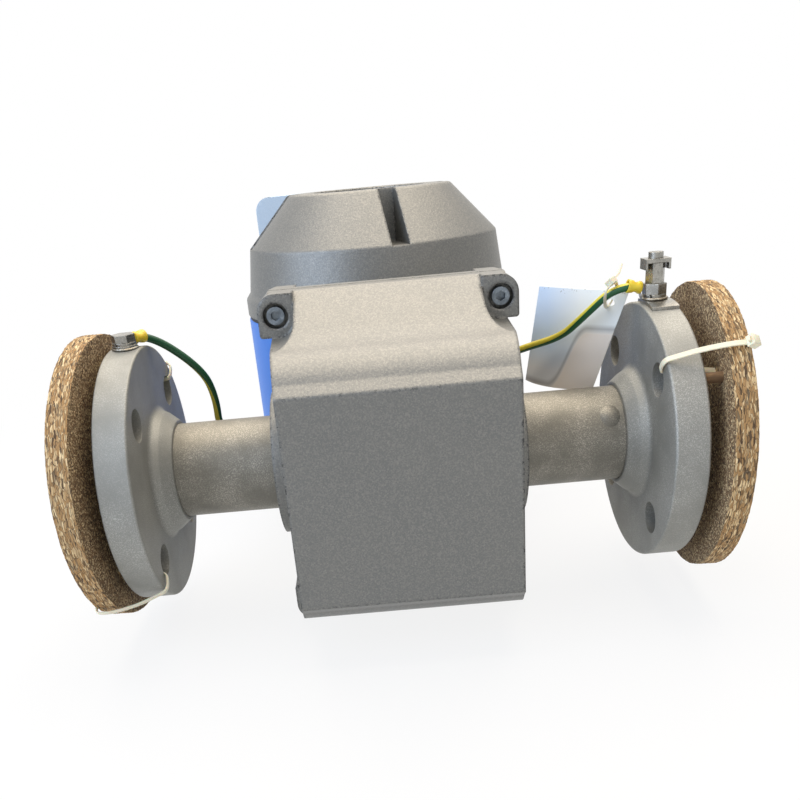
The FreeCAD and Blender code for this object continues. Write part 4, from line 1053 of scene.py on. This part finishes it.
@dataclass
class CableTie:
    """A nylon cable tie: a ribbed strap on a closed line, with its locking head."""

    name: str
    line: list[Vector]
    flat: Vector
    head_at: int
    width: float = mm(2.7)
    thick: float = mm(0.9)
    head: Triple = (mm(4.8), mm(5.0), mm(4.0))
    tail: float = mm(2.0)
    flat_share: float = 0.86
    # The head's levels: how high in shares of its height, and how wide in shares of its size
    head_levels: tuple[Pair, ...] = (
        (-0.2, 0.86), (-0.12, 1.0), (0.72, 1.0), (0.8, 0.84))
    tail_lift: float = 0.35

    def build(self) -> None:
        """Makes the strap, its head and its cut tail."""
        line = line_points(curve_line(self.name, self.line, closed=True))
        shape = bmesh.new()
        half = self.flat * (self.width / 2)
        rings = []
        for i, place in enumerate(line):
            ahead = (line[(i + 1) % len(line)] - line[i - 1]).normalized()
            out = ahead.cross(self.flat).normalized() * (self.thick / 2)
            soft = half * self.flat_share
            rings.append([place - half, place - soft - out, place + soft - out,
                          place + half, place + soft + out, place - soft + out])
        loft(shape, rings, closed=True)
        self.block(shape, line)
        piece = mesh_piece(self.name, shape, flat_from=40.0)
        settle(piece, NYLON)

    def block(self, shape: bmesh.types.BMesh, line: list[Vector]) -> None:
        """Adds the head and tail to the strap's mesh.

        Args:
            shape: The strap's mesh.
            line: The strap's line.
        """
        at = self.head_at * len(line) // len(self.line)
        place = line[at]
        ahead = (line[(at + 1) % len(line)] - line[at - 1]).normalized()
        out = ahead.cross(self.flat).normalized()
        middle = sum(line, Vector()) / len(line)
        if out.dot(place - middle) < 0:
            out = -out
        long, wide, high = self.head
        rings = []
        for up, part in self.head_levels:
            ring = []
            for sa, sb in ((-1, -1), (1, -1), (1, 1), (-1, 1)):
                ring.append(place + out * (high * up) + ahead * (sa * long / 2 * part)
                            + self.flat * (sb * wide / 2 * part))
            rings.append(ring)
        loft(shape, rings)
        rings = []
        for along in (0.0, 0.5, 1.0):
            foot = place + out * ((high + self.tail * along * along) * self.tail_lift)
            foot = foot + ahead * (long / 2 + self.tail * along)
            edge = self.flat * (self.width / 2)
            rise = out * (self.thick / 2)
            rings.append([foot - edge - rise, foot + edge - rise,
                          foot + edge + rise, foot - edge + rise])
        loft(shape, rings)


@dataclass
class Packing:
    """What protects the flanges on the way: both discs, the peg and the ties."""

    flange_x: dict[Way, float] = field(
        default_factory=lambda: {Way.INLET: mm(0.0), Way.OUTLET: mm(276.2)})
    # A tie's corners: millimetres outward from the flange's or disc's inner face, radius in
    # millimetres, and whether the corner goes with the disc
    corners: tuple[tuple[float, float, bool], ...] = (
        (-8.0, 56.2, False), (1.5, 55.0, False), (0.0, 53.0, True), (5.0, 52.3, True),
        (10.2, 52.4, True), (10.5, 57.0, True), (10.5, 67.0, True), (10.4, 73.4, True),
        (8.6, 74.6, True), (1.0, 74.6, True), (-4.0, 71.5, False), (-13.0, 67.6, False),
        (-17.6, 65.6, False), (-17.4, 58.2, False), (-16.0, 56.4, False))

    def build(self) -> None:
        """Makes the discs and ties and dresses the peg."""
        inlet = ShippingDisc(Way.INLET, face_x=mm(-5.15), lean=-2.7, hole_turns=(45.0, 225.0),
                             seed=11.0)
        outlet = ShippingDisc(Way.OUTLET, face_x=mm(287.94), lean=-3.5, hole_turns=(135.0, 315.0),
                              seed=37.0)
        inlet.build()
        outlet.build()
        dress(PEG_WOOD, "disc_peg")
        self.tie("tie_outlet_upper", outlet, turn=135.0, head_at=7)
        self.tie("tie_inlet_lower", inlet, turn=225.0, head_at=2)
        self.tie("tie_inlet_upper", inlet, turn=45.0, head_at=2)

    def tie(self, name: str, disc: ShippingDisc, turn: float, head_at: int) -> None:
        """Makes one tie round a flange's rim and a disc's rim, through their holes.

        Args:
            name: The tie's name.
            disc: The disc that it holds.
            turn: The hole's angle from +Y toward +Z in degrees.
            head_at: Which of the strap's corners carries the head.
        """
        angle = math.radians(turn)
        u = Vector((0, math.cos(angle), math.sin(angle)))
        sign = disc.way.value
        slope = math.tan(math.radians(disc.lean)) * math.cos(angle)
        line = []
        for along, r, on_disc in self.corners:
            if on_disc:
                x = disc.face_x + sign * mm(along) - slope * mm(r)
            else:
                x = self.flange_x[disc.way] + sign * mm(along)
            line.append(Vector((x, 0, 0)) + u * mm(r))
        CableTie(name, line, Vector((1, 0, 0)).cross(u), head_at).build()


@dataclass
class HangTag:
    """The laminated tag hung on the outlet wire by its own small tie."""

    loop: tuple[Triple, ...] = (
        (246.0, -1.4, 74.6), (249.4, 1.6, 75.6), (252.0, 6.4, 73.0), (252.6, 12.2, 67.6),
        (251.4, 15.0, 63.6), (249.0, 12.8, 61.6), (246.4, 7.4, 63.6), (244.4, 0.6, 68.2),
        (243.8, -2.2, 71.6))
    strap_across: Triple = (-0.55, 0.5, -0.67)

    def build(self) -> None:
        """Dresses the tag and makes its tie."""
        dress(TAG_FILM, "hang_tag")
        tie = CableTie("tie_tag", [point(*place) for place in self.loop],
                       Vector(self.strap_across).normalized(), head_at=0, width=mm(2.0),
                       thick=mm(0.8), head=(mm(3.6), mm(3.8), mm(3.2)), tail=mm(12.0))
        tie.build()


# Studio

WHITE = "#FFFFFF"


@dataclass
class Lamp:
    """A large soft lamp aimed at the meter."""

    name: str
    place: Triple
    size: Pair
    watts: float
    colour: str

    def build(self, target: Vector) -> None:
        """Hangs the lamp.

        Args:
            target: The point that it faces, in metres.
        """
        light = bpy.data.lights.new(self.name, "AREA")
        light.energy = self.watts
        light.shape = "RECTANGLE"
        light.size, light.size_y = self.size
        light.color = linear(self.colour)[:3]
        lamp = bpy.data.objects.new(self.name, light)
        lamp.location = self.place
        lamp.rotation_euler = (target - Vector(self.place)).to_track_quat("-Z", "Y").to_euler()
        bpy.context.scene.collection.objects.link(lamp)


@dataclass
class Studio:
    """Floor, lamps, world and the camera at the photograph's place."""

    floor_z: float = mm(-86.2)
    target: Triple = (0.138, 0.05, 0.0)
    camera_at: Triple = (0.12817, -0.41353, 0.13419)
    yaw: float = -0.60
    pitch: float = 24.17
    roll: float = -5.22
    lens: float = 37.18
    sensor: float = 36.0
    shift: Pair = (0.02569, 0.17845)
    sky: str = "#EEF2FF"
    world_strength: float = 0.5
    table: str = "#D6D6D3"
    table_half: float = 4.0
    floor_glow: float = 0.85
    # Distances from the target between which the table fades to white, in metres
    fade: Pair = (0.22, 0.6)
    lamps: list[Lamp] = field(default_factory=lambda: [
        Lamp("key", (0.2, 0.45, 1.27), (1.5, 1.7), 33.0, "#FFF1DE"),
        Lamp("front", (0.9, -1.0, 1.0), (0.9, 0.9), 2.0, "#FFEBD2"),
        Lamp("side", (-1.2, -0.75, 0.75), (1.5, 1.5), 30.0, "#CDE1FF"),
    ])

    def build(self) -> None:
        """Makes the whole studio."""
        self.make_camera()
        self.make_floor()
        self.make_world()
        for lamp in self.lamps:
            lamp.build(Vector(self.target))
        bpy.context.scene.view_settings.view_transform = "Standard"

    def make_camera(self) -> None:
        """Places the camera."""
        yaw, pitch, roll = (math.radians(a) for a in (self.yaw, self.pitch, self.roll))
        ahead = Vector((math.sin(yaw) * math.cos(pitch), math.cos(yaw) * math.cos(pitch),
                        -math.sin(pitch)))
        level = Vector((math.cos(yaw), -math.sin(yaw), 0))
        over = level.cross(ahead)
        right = level * math.cos(roll) + over * math.sin(roll)
        up = over * math.cos(roll) - level * math.sin(roll)
        data = bpy.data.cameras.new("camera")
        data.lens = self.lens
        data.sensor_width = self.sensor
        data.shift_x, data.shift_y = self.shift
        camera = bpy.data.objects.new("camera", data)
        turn = Matrix((right, up, -ahead)).transposed().to_4x4()
        camera.matrix_world = Matrix.Translation(self.camera_at) @ turn
        bpy.context.scene.collection.objects.link(camera)
        bpy.context.scene.camera = camera

    def make_floor(self) -> None:
        """Makes the pale floor that keeps the meter's shadow."""
        shape = bmesh.new()
        bmesh.ops.create_grid(shape, x_segments=8, y_segments=8, size=self.table_half)
        shape.transform(Matrix.Translation((0, 0, self.floor_z)))
        floor = mesh_piece("floor", shape)
        made = bpy.data.materials.new("pale_table")
        made.use_nodes = True
        tree = made.node_tree
        tree.nodes.clear()
        plain = add(tree, "BsdfDiffuse", {"Color": linear(self.table)})
        glow = add(tree, "Emission", {"Color": linear(WHITE), "Strength": 1.0})
        place = add(tree, "TexCoord")
        away = add(tree, "VectorMath", {0: place.outputs["Object"], 1: self.target},
                   operation="DISTANCE")
        fade = add(tree, "MapRange", {0: away.outputs["Value"], 1: self.fade[0], 2: self.fade[1],
                                      3: self.floor_glow, 4: 1.0}, interpolation_type="SMOOTHSTEP")
        share = add(tree, "Math", {0: self.seen(tree), 1: fade}, operation="MULTIPLY")
        mixed = add(tree, "MixShader", {0: share, 1: plain, 2: glow})
        add(tree, "OutputMaterial", {"Surface": mixed})
        floor.data.materials.append(made)

    def make_world(self) -> None:
        """Makes the even sky, which is white where it is seen."""
        world = bpy.data.worlds.new("studio")
        world.use_nodes = True
        tree = world.node_tree
        tree.nodes.clear()
        soft = add(tree, "Background", {"Color": linear(self.sky), "Strength": self.world_strength})
        white = add(tree, "Background", {"Color": linear(WHITE), "Strength": 1.0})
        mixed = add(tree, "MixShader", {0: self.seen(tree), 1: soft, 2: white})
        add(tree, "OutputWorld", {"Surface": mixed})
        bpy.context.scene.world = world

    def seen(self, tree: bpy.types.NodeTree) -> bpy.types.NodeSocket:
        """Adds the test for rays from the camera, from gloss and through glass.

        Args:
            tree: The node tree.

        Returns:
            The socket that is 1 for such rays.
        """
        rays = add(tree, "LightPath")
        shiny = add(tree, "Math",
                    {0: rays.outputs["Is Camera Ray"], 1: rays.outputs["Is Glossy Ray"]},
                    operation="MAXIMUM")
        both = add(tree, "Math", {0: shiny, 1: rays.outputs["Is Transmission Ray"]},
                   operation="MAXIMUM")
        return both.outputs[0]


def main() -> None:
    """Builds the studio and each sub-assembly in order."""
    logging.basicConfig(level=logging.INFO, format="%(name)s: %(message)s")
    for part in (Studio(), EarthConnection(), SensorShells(), FlowTube(), Transmitter(),
                 TerminalBox(), Packing(), HangTag()):
        part.build()
        log.info("%s is done", type(part).__name__)


if __name__ == "__main__":
    main()
